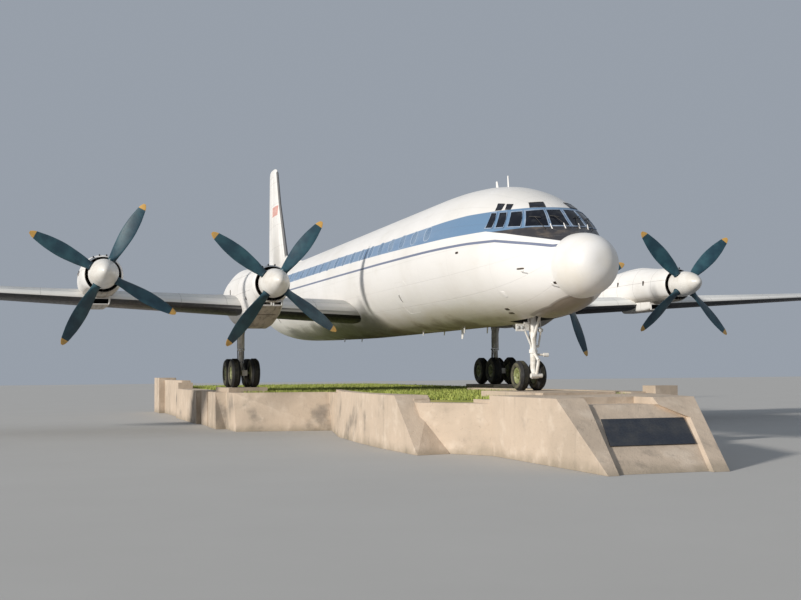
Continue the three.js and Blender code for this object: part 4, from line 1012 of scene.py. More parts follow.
def cabin_windows():
    """Row of domed windows one metre apart, on a line that rises toward the tail."""
    panes, rims = Batch(), Batch()
    half_width, half_height = WINDOW["half_width"], WINDOW["half_height"]
    outline = rounded_outline(WINDOW_POINTS, half_width, half_height, WINDOW["roundness"])
    line_start, line_height, line_slope = WINDOW_LINE
    for _, side in SIDES:
        for k in range(WINDOW["count"]):
            y = WINDOW["first"] + k
            z = line_height + line_slope * (y - line_start)
            rims.hoop([side_ring(y, z, side, outline, *loop) for loop in WINDOW_RIM_LOOPS])
            panes.loft([side_ring(y, z, side, outline, *loop) for loop in WINDOW_PANE_LOOPS])
    panes.piece("cabin_panes", CABIN_GLASS, "grey_paint", 40)
    # rims in pale paint that stands for glints
    rims.piece("cabin_window_rims", WINDOW_RIM_AND_GLINT, "white_paint", 40)


def doors():
    """Thin proud edges round the doors and hatches, with their handles."""
    edges, handles = Batch(), Batch()
    for side, y, z, half_width, half_height in DOORS:
        outer, inner = (rounded_outline(DOOR_POINTS, half_width - cut, half_height - cut, DOOR_ROUNDNESS)
                        for cut in (0, DOOR_EDGE))
        loops = ((outer, DOOR_SUNK), (outer, DOOR_PROUD), (inner, DOOR_PROUD), (inner, DOOR_SUNK))
        edges.hoop([side_ring(y, z, side, outline, 1.0, lift) for outline, lift in loops])
        grip = y + half_width * HANDLE_SHARE
        handles.tube([skin_point(grip, z + dz, side, lift) for dz, lift in HANDLE_BEND], HANDLE_RADIUS)
    edges.piece("door_edges", TRIM_WHITE, "white_paint", 40)
    handles.piece("door_handles", STEEL, "grey_paint", 40)


# Blade aerials on the spine and keel: y, root height, tip height, chord at the root, sweep

AERIALS = [(-11.70, 4.90, 5.23, 0.075, 0.03), (-11.02, 4.96, 5.20, 0.16, 0.06),
           (-8.50, 1.64, 1.33, 0.20, 0.06)]
AERIAL_HALF_THICKNESS = 0.022
AERIAL_SHARES = (0.0, 0.25, 0.5, 0.75, 0.92, 1.0)
SIDE_VENTS = [
    # y, height above HP, length along the skin, height of the plate
    (-12.33, 3.23, 0.14, 0.05), (-14.70, 2.66, 0.20, 0.035), (-15.44, 2.31, 0.07, 0.05),
    (-13.41, 1.86, 0.16, 0.04), (-13.34, 1.775, 0.20, 0.035),
]
SIDE_PLATES = [(-13.84, 2.16, 0.16, 0.14)]
PLATE_LOOPS = ((1.0, -0.004), (1.0, 0.006), (0.8, 0.010))
# y, height above HP and length of the probes on the sides and the drain masts on the keel
PROBES = ((-14.74, 2.60, 0.13), (-15.36, 2.30, 0.12))
PROBE_RADIUS = 0.009
DRAINS = ((-12.38, 1.70, 0.06), (-9.46, 1.61, 0.16), (-6.2, 1.60, 0.10), (2.4, 1.66, 0.12))
DRAIN_X = 0.32
DRAIN_RADII = (0.022, 0.016)


def small_fittings():
    """Blade aerials, vents and plates on the sides, pressure probes and drain masts."""
    aerials = Batch()
    for y, root, tip, chord, sweep in AERIALS:
        rings = []
        for share in AERIAL_SHARES:
            wide = chord * (1 - 0.45 * share) * (0.8 if share == 1.0 else 1.0)
            thick = AERIAL_HALF_THICKNESS * (0.55 if share == 1.0 else 1 - 0.3 * share)
            middle = y + sweep * share
            z = HP + root + (tip - root) * share
            rings.append([(thick * math.sin(a), middle - wide / 2 * math.cos(a), z) for a in circle(20)])
        aerials.loft(rings)
    aerials.piece("aerials", TRIM_WHITE, "white_paint", 50)

    vents, probes, plates = Batch(), Batch(), Batch()
    for _, side in SIDES:
        for batch, table in ((vents, SIDE_VENTS), (plates, SIDE_PLATES)):
            for y, z, length, height in table:
                outline = rounded_outline(20, length / 2, height / 2, 4)
                batch.loft([side_ring(y, z, side, outline, *loop) for loop in PLATE_LOOPS])
        for y, z, reach in PROBES:
            root = skin_point(y, z, side, -0.02)
            out = skin_point(y, z, side, 0.045)
            bend = skin_point(y - 0.02, z, side, 0.058)
            probes.tube([root, out, bend, bend + Vector((0, -reach, 0))], PROBE_RADIUS, 10)
        for y, z, reach in DRAINS:
            start = Vector((side * DRAIN_X, y, HP + z + 0.04))
            probes.rod(start, start + Vector((0, 0.03, -reach - 0.04)), *DRAIN_RADII)
    vents.piece("side_vents", BURNT, "grey_paint")
    plates.piece("side_plates", TRIM_WHITE, "white_paint")
    probes.piece("pressure_probes", TRIM_WHITE, "white_paint")


# Nacelles: distance behind the hub, half width, top and bottom about the shaft line

INNER_NACELLE = [
    (0.37, 0.500, 0.500, -0.500), (0.52, 0.550, 0.550, -0.570), (0.90, 0.558, 0.560, -0.690),
    (1.60, 0.556, 0.575, -0.840), (2.70, 0.552, 0.630, -1.020), (4.30, 0.545, 0.735, -1.090),
    (5.60, 0.500, 0.590, -1.000), (6.70, 0.390, 0.390, -0.700), (7.50, 0.265, 0.240, -0.350),
]
OUTER_NACELLE = [
    (0.37, 0.500, 0.500, -0.500), (0.52, 0.560, 0.560, -0.545), (0.90, 0.592, 0.590, -0.560),
    (1.50, 0.608, 0.618, -0.562), (2.80, 0.600, 0.750, -0.555), (4.50, 0.500, 0.650, -0.540),
    (5.60, 0.370, 0.430, -0.480), (6.50, 0.260, 0.230, -0.310),
]
# cooler under the nose: rings as above, then the inlets' middles, width, heights and depth
INNER_CHIN = {
    "rings": [(0.45, 0.330, -0.400, -0.640), (0.90, 0.400, -0.430, -0.760), (1.50, 0.430, -0.450, -0.930),
              (2.30, 0.430, -0.500, -1.120), (2.95, 0.420, -0.500, -1.190)],
    "mouths": [-0.13, 0.17], "width": 0.20, "top": -0.52, "bottom": -0.60, "depth": 0.20,
}
OUTER_CHIN = {
    "rings": [(1.72, 0.290, -0.420, -0.760), (2.30, 0.305, -0.420, -0.800), (3.67, 0.290, -0.420, -0.800)],
    "mouths": [0.0], "width": 0.47, "top": -0.59, "bottom": -0.735, "depth": 0.33,
}
NACELLE_POINTS = 72
COWL_LIP = ((0.37, 0.486), (0.371, 0.493), (0.376, 0.499))
COOLER_LIP = ((0.0, -0.02), (0.0, 0.020), (0.012, 0.030), (0.026, 0.020), (0.026, -0.02))
ENGINE_BAY_RADIUS = 0.482
ENGINE_BAY_BACK = 2.56
CUT_OVERRUN = Vector((0, 0.1, 0))
EXHAUST_RADIUS = 0.185
EXHAUST_DEPTH = 0.50
EXHAUST_DROP = 0.035
CHIN_CORNER = 0.13
PROPELLERS = [
    (9.160, -4.820, 3.240, 43.0), (4.500, -5.440, 3.010, 20.0),
    (-4.500, -5.440, 3.010, 52.4), (-9.160, -4.820, 3.240, 60.8),
]
INNER_ENGINES = (2, 3)


def chin_ring(y, half, top, bottom):
    """Upright sides, flat foot and rounded lower corners, about the shaft line."""
    ring = [(-half, y, top), (half, y, top)]
    for start, sign in ((0, 1), (-90, -1)):
        for k in range(7):
            a = math.radians(start - 15 * k)
            ring.append((sign * (half - CHIN_CORNER) + CHIN_CORNER * math.cos(a), y,
                         bottom + CHIN_CORNER + CHIN_CORNER * math.sin(a)))
    return ring


def spaced(table, step):
    """Even places from a table's first place to its last, about a step apart."""
    first, last = table[0][0], table[-1][0]
    return list(np.linspace(first, last, int((last - first) / step) + 1))


def nacelle(number, x, y, height):
    """Cowl and cooler with open bay, exhaust and inlets, whose insides are painted dark as shade."""
    inner = number in INNER_ENGINES
    table = INNER_NACELLE if inner else OUTER_NACELLE
    cooler = INNER_CHIN if inner else OUTER_CHIN
    half, top, bottom = (fair(table, c) for c in (1, 2, 3))
    rings = [oval_ring(y + back, NACELLE_POINTS, size, height + size, height - size, height, x)
             for back, size in COWL_LIP]
    for back in spaced(table, 0.10)[1:]:
        high, low = height + top(back), height + bottom(back)
        rings.append(oval_ring(y + back, NACELLE_POINTS, half(back), high, low, height, x))
    shell, chin, holes, mouths = Batch(), Batch(), Batch(), Batch()
    shell.loft(rings)
    centre = Vector((x, y, HP + height))
    sides = [fair(cooler["rings"], c) for c in (1, 2, 3)]
    chin.loft([[centre + Vector(p) for p in chin_ring(back, *(float(side(back)) for side in sides))]
               for back in spaced(cooler["rings"], 0.09)])
    end = table[-1][0]
    bay_end = centre + Vector((0, ENGINE_BAY_BACK, 0))
    for cutters in (holes, mouths):
        cutters.rod(centre + CUT_OVERRUN, bay_end, ENGINE_BAY_RADIUS, sides=64)
    outlet = centre + Vector((0, end - EXHAUST_DEPTH, -EXHAUST_DROP))
    behind = centre + Vector((0, end, -EXHAUST_DROP)) + CUT_OVERRUN
    holes.rod(outlet, behind, EXHAUST_RADIUS, sides=40)
    front = cooler["rings"][0][0]
    lips = Batch()
    for place in cooler["mouths"]:
        low = Vector((place - cooler["width"] / 2, front - cooler["depth"], cooler["bottom"]))
        high = Vector((place + cooler["width"] / 2, front + cooler["depth"], cooler["top"]))
        mouths.box(centre + low, centre + high)
        loops = []
        for grow, forward in COOLER_LIP:
            corners = [(low.x - grow, low.z - grow), (high.x + grow, low.z - grow),
                       (high.x + grow, high.z + grow), (low.x - grow, high.z + grow)]
            loops.append([centre + Vector((u, front - forward, v)) for u, v in corners])
        lips.hoop(loops)
    shell_piece = shell.piece(f"nacelle_{number}_shell", [COWLING, RECESS_SHADE], "white_paint", 40)
    cut_away(shell_piece, holes, 35)
    chin_piece = chin.piece(f"nacelle_{number}_chin", [COWLING, RECESS_SHADE], "white_paint", 30)
    cut_away(chin_piece, mouths, 30, True)

    def in_bay(side, up):
        return math.hypot(side, up) < ENGINE_BAY_RADIUS + TOUCH / 2

    def inside(c):
        side, back, up = c - centre
        if in_bay(side, up) and COWL_LIP[1][0] + TOUCH < back < ENGINE_BAY_BACK + 10 * TOUCH:
            return True
        in_outlet = math.hypot(side, up + EXHAUST_DROP) < EXHAUST_RADIUS + TOUCH
        return in_outlet and end - EXHAUST_DEPTH - 10 * TOUCH < back < end - TOUCH

    def inside_mouth(c):
        side, back, up = c - centre
        if not cooler["bottom"] - TOUCH < up < cooler["top"] + TOUCH or back < front + 2 * TOUCH:
            return in_bay(side, up)
        return any(abs(side - place) < cooler["width"] / 2 + TOUCH for place in cooler["mouths"])

    # insides of the bay, exhaust and cooler mouths take the painted shade
    paint_faces(shell_piece, 1, inside)
    paint_faces(chin_piece, 1, inside_mouth)
    lips.piece(f"cooler_lips_{number}", TRIM_WHITE, "white_paint")
    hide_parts(f"nacelle_{number}")
    cowl_fittings(number, centre, inner, end, half, top)


# rings about the shaft as (distance back, radius); the collar's distances are from the exhaust's end
COLLAR_SECTION = ((-0.30, 0.184), (0.015, 0.184), (0.03, 0.190), (0.03, 0.196),
                  (-0.01, 0.200), (-0.30, 0.186))
LIP_SECTION = ((0.375, 0.4825), (0.362, 0.484), (0.356, 0.490), (0.360, 0.497), (0.375, 0.5005))
VANES = 16
VANE_BACK = 0.405
VANE_REACH = (0.17, 0.478)
VANE_HALF_CHORD = 0.045
VANE_HALF_THICKNESS = 0.008
SCOOP_ANGLES = (80, 100, 118)
SCOOP_BACK = 0.46
SCOOP_HEIGHT = 0.045
SCOOP_PROFILE = [(0, 0.022), (0.7, 0.022), (1, 0.012)]
# distance back and height of the side slots, about the shaft line
INNER_SLOTS = ((1.71, -0.31), (4.28, 0.0))
OUTER_SLOTS = ((1.6, 0.12), (3.4, 0.2))
SLOT_HALF = Vector((0.012, 0.035, 0.075))
COOLER_FLAP = Vector((0, 1.22, -0.850))


def cowl_fittings(number, centre, inner, end, half, top):
    """Exhaust collar, lip ring, inlet vanes, scoops and side slots of one nacelle."""
    burnt, dark = Batch(), Batch()
    outlet = centre + Vector((0, 0, -EXHAUST_DROP))
    burnt.hoop([shaft_ring(size, end + back, outlet, 40) for back, size in COLLAR_SECTION])
    burnt.piece(f"exhaust_{number}", BURNT, "engine_casting")
    dark.hoop([shaft_ring(size, back, centre, 64) for back, size in LIP_SECTION])
    for a in circle(VANES):
        outward = Vector((math.cos(a), 0, math.sin(a)))
        across = Vector((0, VANE_HALF_CHORD, 0))
        side = outward.cross(Vector((0, 1, 0))) * VANE_HALF_THICKNESS
        rings = []
        for reach in VANE_REACH:
            middle = centre + outward * reach + Vector((0, VANE_BACK, 0))
            rings.append([middle - across, middle + side, middle + across, middle - side])
        dark.loft(rings)
    wide, high = half(SCOOP_BACK), top(SCOOP_BACK)
    for a in SCOOP_ANGLES:
        turn = math.radians(a)
        foot = centre + Vector((wide * math.cos(turn), SCOOP_BACK, high * math.sin(turn)))
        head = foot + Vector((math.cos(turn), 0, math.sin(turn))) * SCOOP_HEIGHT
        dark.turning(foot - (head - foot) * 0.4, head, SCOOP_PROFILE, 12)
    dark.piece(f"lip_ring_{number}", ENGINE, "engine_casting")
    slots = Batch()
    for _, side in SIDES:
        for back, rise in INNER_SLOTS if inner else OUTER_SLOTS:
            share = math.sqrt(1 - (rise / 0.8) ** 2)
            slot = centre + Vector((side * half(back) * share, back, rise))
            slots.box(slot - SLOT_HALF, slot + SLOT_HALF)
    if inner:
        flap = centre + COOLER_FLAP
        slots.box(flap - Vector((0.27, 0.03, 0.008)), flap + Vector((0.27, 0.03, 0.03)))
    slots.piece(f"cowl_slots_{number}", BURNT, "grey_paint")


# Propellers: blade stations as radius, chord, thickness and pitch

BLADE_TABLE = [
    (0.120, 0.210, 0.210, 45), (0.400, 0.220, 0.205, 45), (0.560, 0.320, 0.130, 45),
    (0.850, 0.420, 0.075, 41), (1.250, 0.465, 0.052, 34), (1.650, 0.400, 0.036, 28),
    (1.950, 0.290, 0.025, 25), (2.150, 0.190, 0.016, 23), (2.250, 0.070, 0.010, 22),
]
BLADE_CHORD, BLADE_THICK, BLADE_PITCH = (fair(BLADE_TABLE, c) for c in (1, 2, 3))
BLADES = 4
BLADE_POINTS = 28
BLADE_RINGS = 34
TIP_FROM = 2.09
TIP_RINGS = 9
# sleeves at the blade roots as (radius from the shaft, size), and the hub as (radius, distance back)
CUFF = ((0.20, 0.112), (0.415, 0.112), (0.43, 0.119), (0.445, 0.112))
HUB_PROFILE = ((0.236, -0.15), (0.25, -0.136), (0.25, 0.136), (0.236, 0.15))
# radius and distance back along the spinner, and its nose's own finer stations
SPINNER_PROFILE = [(0.000, -0.885), (0.090, -0.845), (0.190, -0.720), (0.280, -0.540),
                   (0.350, -0.320), (0.392, -0.100), (0.410, 0.080), (0.410, 0.330)]
SPINNER_NOSE = [(0.022, -0.883), (0.052, -0.871)]
SPINNER_WALL = 0.012
SHANK_HOLE = 0.128
SPINNER_SEAMS = (-0.30, 0.20)
SEAM_SECTION = ((-0.004, -0.008), (0.002, -0.005), (0.002, 0.005), (-0.004, 0.008))
SPINNER_SCREWS = 8
SCREW_BACK = 0.26


def blade_ring(radius):
    """Oval section of a blade at a radius, turned to its pitch there."""
    chord, thick = BLADE_CHORD(radius), BLADE_THICK(radius)
    pitch = math.radians(BLADE_PITCH(radius))
    ring = []
    for a in circle(BLADE_POINTS):
        across, through = chord / 2 * math.cos(a), thick / 2 * math.sin(a)
        ring.append((radius, across * math.sin(pitch) + through * math.cos(pitch),
                     across * math.cos(pitch) - through * math.sin(pitch)))
    return ring


def turned(point, degrees, centre):
    """Point turned from +X toward +Z about the propeller's shaft and moved to its centre."""
    a = math.radians(degrees)
    x, y, z = point
    return (centre[0] + x * math.cos(a) - z * math.sin(a), centre[1] + y,
            centre[2] + x * math.sin(a) + z * math.cos(a))


def propeller(number, x, y, height, phase):
    """Four blades with sleeves on a hub, and their yellow tips."""
    first, last = BLADE_TABLE[0][0], BLADE_TABLE[-1][0]
    radii = list(np.linspace(first, TIP_FROM, BLADE_RINGS))
    radii += list(np.linspace(TIP_FROM + 0.03, last, TIP_RINGS))
    centre = (x, y, HP + height)
    body = f"propeller_{number}"
    blades, tips = Batch(), Batch()
    for turn in range(BLADES):
        angle = phase + 90 * turn
        rings = [[turned(p, angle, centre) for p in blade_ring(r)] for r in radii]
        blades.loft(rings[:BLADE_RINGS])
        tips.loft(rings[BLADE_RINGS - 1:])
        blades.loft([[turned((r, size * math.sin(a), size * math.cos(a)), angle, centre)
                      for a in circle(BLADE_POINTS)] for r, size in CUFF])
    blades.loft([shaft_ring(size, back, centre, 40) for size, back in HUB_PROFILE])
    piece = blades.piece(f"{body}_blades", BLADE, "blade_paint", 40, body)
    tips.piece(f"{body}_tips", TIP_YELLOW, "blade_paint", 40, body)
    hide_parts(body)


def spinner(number, x, y, height, phase):
    """Turned shell with an open back, a round cut at each blade root, two seams and screws."""
    centre = (x, y, HP + height)
    shape = fair([(back, radius) for radius, back in SPINNER_PROFILE[1:]], 1)
    outer = SPINNER_PROFILE[:1] + SPINNER_NOSE
    outer += [(float(shape(back)), back) for back in np.linspace(-0.845, 0.330, 40)]
    inner = [(max(radius - SPINNER_WALL, 0.0), back + (SPINNER_WALL if radius < 0.40 else 0))
             for radius, back in outer]
    profile = outer[1:] + inner[:0:-1]
    batch = Batch()
    batch.loft([shaft_ring(radius, back, centre, 64) for radius, back in profile])
    body = f"propeller_{number}"
    piece = batch.piece(f"spinner_{number}_shell", CREAM, "cream_paint", 40, body)
    cutter = Batch()
    for turn in range(BLADES):
        start, end = (turned((r, 0, 0), phase + 90 * turn, centre) for r in (0.02, 0.6))
        cutter.rod(start, end, SHANK_HOLE, sides=28)
    cut_away(piece, cutter, 40, True)
    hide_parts(f"spinner_{number}")
    seams = Batch()
    for back in SPINNER_SEAMS:
        size = float(shape(back))
        seams.hoop([shaft_ring(size + lift, back + move, centre, 64) for lift, move in SEAM_SECTION])
    size = float(shape(SPINNER_SEAMS[-1]))
    for turn in range(SPINNER_SCREWS):
        angle = phase + 45 * turn + 20
        foot, head = (turned((size + lift, SCREW_BACK, 0), angle, centre) for lift in (-0.004, 0.003))
        seams.rod(foot, head, 0.012, sides=10)
    seams.piece(f"spinner_{number}_seams", TRIM_WHITE, "cream_paint", 40, body)


# Wheels

MAIN_TYRE = {"radius": 0.465, "width": 0.305, "rim": 0.225, "grooves": 4, "bolts": 12}
NOSE_TYRE = {"radius": 0.350, "width": 0.250, "rim": 0.190, "grooves": 3, "bolts": 10}
TYRE_TURNS = 96
# tread groove as (place across the tread, depth)
GROOVE = ((-0.009, 0), (-0.006, 0.009), (0.006, 0.009), (0.009, 0))
HUB_CAP = ((0, 1), (0.62, 1), (0.80, 0.86), (0.92, 0.55), (1, 0.18))


def box_middle(node):
    """Middle of a CAD node's box."""
    low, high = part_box(node)
    return tuple((a + b) / 2 for a, b in zip(low, high))


def tyre_piece(node, body, centre, size):
    """Rounded tyre on the CAD tyre's profile, with tread grooves cut round it."""
    radius, rim, half = size["radius"], size["rim"], size["width"] / 2
    marks = [(rim, -half * 0.72), (rim + 0.012, -half * 0.86), (rim + (radius - rim) * 0.45, -half),
             (radius - half * 0.42, -half * 0.92), (radius, -half * 0.45)]
    side = []
    for a, b in zip(marks, marks[1:]):
        for t in (0, 0.25, 0.5, 0.75):
            side.append((a[0] + (b[0] - a[0]) * t, a[1] + (b[1] - a[1]) * t))
    side.append(marks[-1])
    # corner averaging rounds the profile and keeps it inside the plain one
    for _ in range(2):
        side = [side[0]] + [((side[i - 1][0] + 2 * side[i][0] + side[i + 1][0]) / 4,
                             (side[i - 1][1] + 2 * side[i][1] + side[i + 1][1]) / 4)
                            for i in range(1, len(side) - 1)] + [side[-1]]
    tread = []
    flat = half * 0.45
    for k in range(size["grooves"]):
        place = -flat + 2 * flat * (k + 1) / (size["grooves"] + 1)
        for offset, depth in GROOVE:
            tread.append((radius - depth, place + offset))
    profile = side + tread + [(r, -x) for r, x in reversed(side)]
    batch = Batch()
    batch.hoop([[(centre[0] + x, centre[1] + r * math.cos(a), centre[2] + r * math.sin(a))
                 for r, x in profile] for a in circle(TYRE_TURNS)])
    # the last loop runs on the first one's points, so the tyre has no seam
    mesh_points = batch.points[:-len(profile)]
    faces = [tuple(i % len(mesh_points) for i in face) for face in batch.faces]
    piece = make_piece(node + "_rubber", mesh_points, faces, body, TYRE, 38)
    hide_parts(node)


def wheel_fittings(batch, centre, outward, size):
    """Rim bolts, hub cap and valve on the outward side of one wheel."""
    x, y, z = centre
    face = 0.36 * size["width"]
    ring = size["rim"] * 0.9
    for a in circle(size["bolts"]):
        place = Vector((x + outward * (face - 0.006), y + ring * math.cos(a), z + ring * math.sin(a)))
        batch.rod(place, place + Vector((outward * 0.020, 0, 0)), size["rim"] * 0.045, sides=6)
    start = Vector((x + outward * (face - 0.065), y, z))
    cap = size["rim"] * 0.34
    batch.turning(start, start + Vector((outward * 0.085, 0, 0)),
                  [(share, cap * part) for share, part in HUB_CAP], 28)
    valve = Vector((x + outward * (face - 0.03), y + size["rim"] * 0.62, z))
    batch.rod(valve, valve + Vector((outward * 0.035, 0, 0)), 0.007, sides=8)


def wheels():
    """Tyres, hubs and bolts of the main gear, then of the nose gear."""
    for side, sign in SIDES:
        for axle in ("front", "rear"):
            body = f"main_wheels_{side}_{axle}"
            bolts = Batch()
            for which, outward in (("inner", -sign), ("outer", sign)):
                node = f"main_tyre_{side}_{axle}_{which}"
                tyre_piece(node, body, box_middle(node), MAIN_TYRE)
                wheel_fittings(bolts, box_middle(node), outward, MAIN_TYRE)
            smooth_copy(f"main_hubs_{side}_{axle}", HUB_OLIVE, 30, 0.004)
            bolts.piece(f"main_bolts_{side}_{axle}", HUB_OLIVE, "hub_paint", body=body)
    bolts = Batch()
    for side, sign in SIDES:
        node = f"nose_tyre_{side}"
        tyre_piece(node, "nose_wheels", box_middle(node), NOSE_TYRE)
        wheel_fittings(bolts, box_middle(node), sign, NOSE_TYRE)
    smooth_copy("nose_hubs", HUB_OLIVE, 30, 0.003)
    bolts.piece("nose_bolts", HUB_OLIVE, "hub_paint", body="nose_wheels")


# Landing gear dressings, which ride on the fixed legs and on the steered fork

NOSE_LEG_Y = -12.99
MAIN_LEG_X = 4.5
NOSE_BALL_LAMP = (0.185, -13.050, 1.400)
NOSE_BOX_LAMPS = ((-0.385, -13.040, 1.460), (-0.289, -13.040, 1.460))
NOSE_SIDE_LAMP = (0.345, -13.064, 0.828)
TIP_LAMP = (18.50, -0.985, 3.219)
TIP_LAMP_REACH = (0.02, 0.24)
TIP_LAMP_PROFILE = [(0.0, 0.008), (0.06, 0.026), (0.20, 0.043), (0.45, 0.054), (0.75, 0.056), (1.0, 0.050)]
DOME_PROFILE = ((0.0, 1.0), (0.35, 0.94), (0.65, 0.76), (0.88, 0.45), (1.0, 0.12))
# height above HP and radius of the leg under each clamp
LEG_CLAMPS = ((0.80, 0.084), (1.16, 0.084), (1.22, 0.124), (2.05, 0.124))
# distance behind the leg and height of the torque link's pins
LINK_PINS = ((0.27, 1.22), (0.33, 0.87))


def dome(batch, foot, outward, radius, height):
    """Lens: a low round dome on foot."""
    foot = Vector(foot)
    start = foot - Vector(outward) * 0.004
    profile = [(share, radius * size) for share, size in DOME_PROFILE]
    batch.turning(start, foot + Vector(outward) * height, profile)


def lamps():
    """Lenses on the nose gear, and red and green lamps on the wing tips."""
    clear, steered = Batch(), Batch()
    x, y, z = NOSE_BALL_LAMP
    dome(clear, (x, y, HP + z), (0, -1, 0), 0.043, 0.016)
    for x, y, z in NOSE_BOX_LAMPS:
        dome(clear, (x, y, HP + z), (0, -1, 0), 0.044, 0.018)
    clear.piece("nose_lamp_lenses", CLEAR_LENS, "grey_paint")
    x, y, z = NOSE_SIDE_LAMP
    dome(steered, (x, y, HP + z), (1, -0.15, 0), 0.040, 0.012)
    steered.piece("side_lamp_lens", CLEAR_LENS, "grey_paint", body="nose_steering")
    for (side, sign), lens in zip(SIDES, (GREEN_LENS, RED_LENS)):
        x, y, z = TIP_LAMP
        end = (sign * (x + TIP_LAMP_REACH[0]), y + TIP_LAMP_REACH[1], HP + z)
        lamp = Batch()
        lamp.turning((sign * x, y, HP + z), end, TIP_LAMP_PROFILE)
        lamp.piece(f"tip_lamp_{side}", lens, "grey_paint", 60)


def bowed(top, length, steps, bow):
    """Path straight down from top that swings out by the vector bow at half its length."""
    return [Vector(top) + Vector(bow) * math.sin(math.pi * k / steps) - Vector((0, 0, length * k / steps))
            for k in range(steps + 1)]


def nose_hoses():
    """Two hoses down the fixed part of the nose leg."""
    hoses = Batch()
    for x, bow in ((0.088, 0.030), (-0.088, 0.024)):
        hoses.tube(bowed((x, NOSE_LEG_Y + 0.03, HP + 2.00), 0.80, 8, (bow, 0, 0)), 0.011)
    hoses.piece("nose_hoses", HOSE, "gear_steel")


def gear_fittings():
    """Hoses, clamps and link pins of the main legs."""
    for side, sign in SIDES:
        x = sign * MAIN_LEG_X
        hoses, metal = Batch(), Batch()
        for offset, bow in ((0.10, 0.05), (-0.10, 0.07)):
            hoses.tube(bowed((x + offset, 0.02, HP + 2.20), 1.50, 9, (0, bow, 0)), 0.014)
        for y in (-0.45, 0.45):
            hoses.tube([(x + 0.06, 0.10 * math.copysign(1, y), HP + 0.72), (x + 0.07, y * 0.5, HP + 0.63),
                        (x + 0.07, y, HP + 0.585)], 0.012)
        for z, size in LEG_CLAMPS:
            metal.turning((x, 0, HP + z), (x, 0, HP + z + 0.035),
                          [(0, size), (0.2, size + 0.008), (0.8, size + 0.008), (1, size)], 28)
        for y, z in LINK_PINS:
            metal.rod((x - 0.06, y, HP + z), (x + 0.06, y, HP + z), 0.020)
        hoses.piece(f"main_hoses_{side}", HOSE, "gear_steel")
        metal.piece(f"main_collars_{side}", STEEL, "gear_steel")


# Turf: blades of grass on the bed's top

GRASS_COUNT = 62000
GRASS_SEED = 7
GRASS_SUNK = 0.004
GRASS_SHORTEST = 0.035
GRASS_GROWTH = 0.085
GRASS_LEAN = 0.22


def grass():
    """Single-triangle blades of grass over the turf bed, thicker in tufts."""
    bed = nodes["plinth_turf"].data
    bed.calc_loop_triangles()
    corners = np.array([v.co[:] for v in bed.vertices])
    triangles = np.array([t.vertices[:] for t in bed.loop_triangles])
    level = corners[:, 2].max()
    flat = triangles[(corners[triangles][:, :, 2] > level - 1e-4).all(axis=1)]
    a, b, c = (corners[flat[:, k]] for k in range(3))
    areas = np.linalg.norm(np.cross(b - a, c - a), axis=1)
    draw = np.random.default_rng(GRASS_SEED)
    chosen = draw.choice(len(flat), GRASS_COUNT, p=areas / areas.sum())
    u, v = draw.random(GRASS_COUNT), draw.random(GRASS_COUNT)
    fold = u + v > 1
    u[fold], v[fold] = 1 - u[fold], 1 - v[fold]
    foot = a[chosen] + (b - a)[chosen] * u[:, None] + (c - a)[chosen] * v[:, None]
    foot[:, 2] = level - GRASS_SUNK
    tall = GRASS_SHORTEST + GRASS_GROWTH * draw.random(GRASS_COUNT) ** 1.6
    turn = draw.random(GRASS_COUNT) * 2 * math.pi
    wide = 0.010 + 0.014 * draw.random(GRASS_COUNT)
    across = np.stack([np.cos(turn), np.sin(turn), np.zeros(GRASS_COUNT)], 1) * wide[:, None]
    sway = [draw.normal(0, GRASS_LEAN, GRASS_COUNT) * tall for _ in range(2)]
    lean = np.stack([*sway, tall], 1)
    points = np.stack([foot - across, foot + across, foot + lean], 1).reshape(-1, 3)
    mesh = bpy.data.meshes.new("grass_blades")
    mesh.vertices.add(len(points))
    mesh.vertices.foreach_set("co", points.astype(np.float32).ravel())
    mesh.loops.add(len(points))
    mesh.loops.foreach_set("vertex_index", np.arange(len(points), dtype=np.int32))
    mesh.polygons.add(GRASS_COUNT)
    mesh.polygons.foreach_set("loop_start", np.arange(0, len(points), 3, dtype=np.int32))
    mesh.update(calc_edges=True)
    mesh.validate()
    place_piece("grass_blades", mesh, "airframe", GRASS)


# Camera, light and floor

CAMERA_PLACE = (-11.1125, -37.2430, 1.7802)
CAMERA_YAW = math.radians(18.021)
CAMERA_PITCH = math.radians(3.558)
CAMERA_ROLL = math.radians(-0.488)
CAMERA_LENS = 51.40
SUN_TRAVEL = (0.86, 0.30, -0.34)
SUN_STRENGTH = 3.6
SUN_WIDTH = math.radians(5)
SUN_COLOUR = (1.0, 0.955, 0.89)
SKY_COLOUR = (0.78, 0.87, 1.0, 1)
SKY_STRENGTH = 0.40
FLOOR_HALF = 160
FLOOR_LEVEL = -0.002
FLOOR_ROUGHNESS = 0.85


def camera():
    """Camera of the photograph: forward, right and up turned by yaw, pitch and roll."""
    yaw, pitch, roll = CAMERA_YAW, CAMERA_PITCH, CAMERA_ROLL
    forward = Vector((math.sin(yaw) * math.cos(pitch), math.cos(yaw) * math.cos(pitch), math.sin(pitch)))
    right = Vector((math.cos(yaw), -math.sin(yaw), 0))
    up = right.cross(forward)
    across = right * math.cos(roll) + up * math.sin(roll)
    upward = up * math.cos(roll) - right * math.sin(roll)
    data = bpy.data.cameras.new("photo_camera")
    data.lens = CAMERA_LENS
    data.sensor_width = 36
    data.sensor_fit = "HORIZONTAL"
    data.clip_end = 500
    eye = linked("photo_camera", data)
    turn = Matrix((across, upward, -forward)).transposed()
    eye.matrix_world = Matrix.Translation(CAMERA_PLACE) @ turn.to_4x4()
    bpy.context.scene.camera = eye


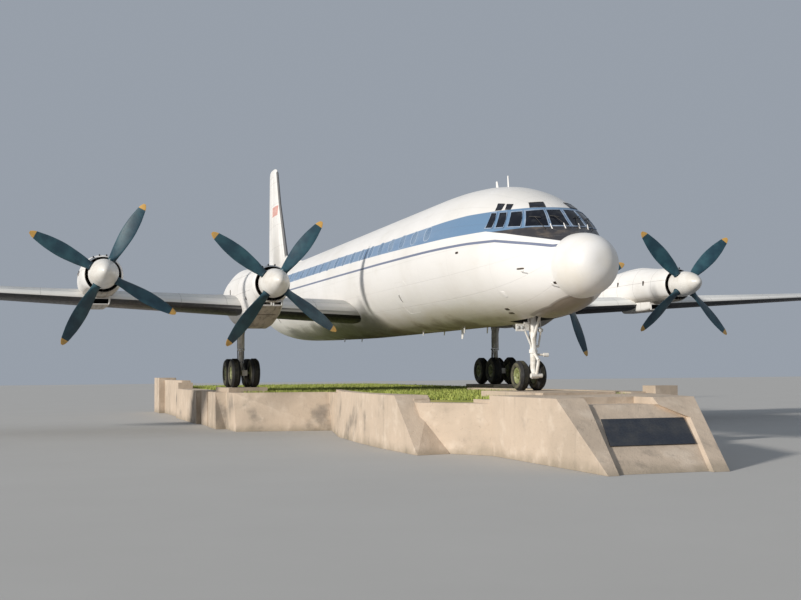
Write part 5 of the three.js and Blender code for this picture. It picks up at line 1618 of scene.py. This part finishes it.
def light():
    """Pale sky, and a low sun from the aircraft's right and front."""
    bpy.context.scene.view_settings.view_transform = "Standard"
    world = bpy.data.worlds.new("studio")
    world.use_nodes = True
    back = world.node_tree.nodes["Background"]
    back.inputs["Color"].default_value = SKY_COLOUR
    back.inputs["Strength"].default_value = SKY_STRENGTH
    bpy.context.scene.world = world
    sun = bpy.data.lights.new("key", "SUN")
    sun.energy = SUN_STRENGTH
    sun.angle = SUN_WIDTH
    sun.color = SUN_COLOUR
    key = linked("key", sun)
    key.rotation_euler = Vector(SUN_TRAVEL).to_track_quat("-Z", "Y").to_euler()


def floor():
    """Plain ground under the plinth, which belongs to the stage."""
    mesh = bpy.data.meshes.new("studio_floor")
    corners = [(FLOOR_HALF * x, FLOOR_HALF * y, FLOOR_LEVEL)
               for x, y in ((-1, -1), (1, -1), (1, 1), (-1, 1))]
    mesh.from_pydata(corners, [], [(0, 1, 2, 3)])
    g = Graph("studio_floor")
    g.base(g.noise(0.4, 3), (0.44, 0.43, 0.41), (0.48, 0.47, 0.45))
    mesh.materials.append(g.finish(FLOOR_ROUGHNESS))
    plane = linked("studio_floor", mesh)


camera()
light()
floor()
fuselage()
radome()
cockpit()
cabin_windows()
doors()
small_fittings()
for number, (x, y, height, phase) in enumerate(PROPELLERS, 1):
    nacelle(number, x, y, height)
    smooth_copy(f"engine_{number}", ENGINE, 30, 0.004)
    propeller(number, x, y, height, phase)
    spinner(number, x, y, height, phase)
wheels()
gear_fittings()
nose_hoses()
lamps()
for side, _ in SIDES:
    for surface, sheet in (("wing", WING_SHEET), ("aileron", WING_SHEET),
                           ("tailplane", TAILPLANE_SHEET), ("elevator", TAILPLANE_SHEET)):
        smooth_copy(f"{surface}_{side}", sheet, 50)
    smooth_copy(f"main_leg_{side}", GEAR, 32, 0.004)
for node in ("fin", "rudder"):
    smooth_copy(node, TAIL, 50)
for node in ("nose_leg", "nose_fork"):
    smooth_copy(node, NOSE_GEAR, 32, 0.003)
smooth_copy("plinth", CONCRETE, 20, 0.045, 3)
smooth_copy("plinth_turf", TURF, 20, 0.02)
smooth_copy("plaque", PLAQUE, 20, 0.006)
grass()
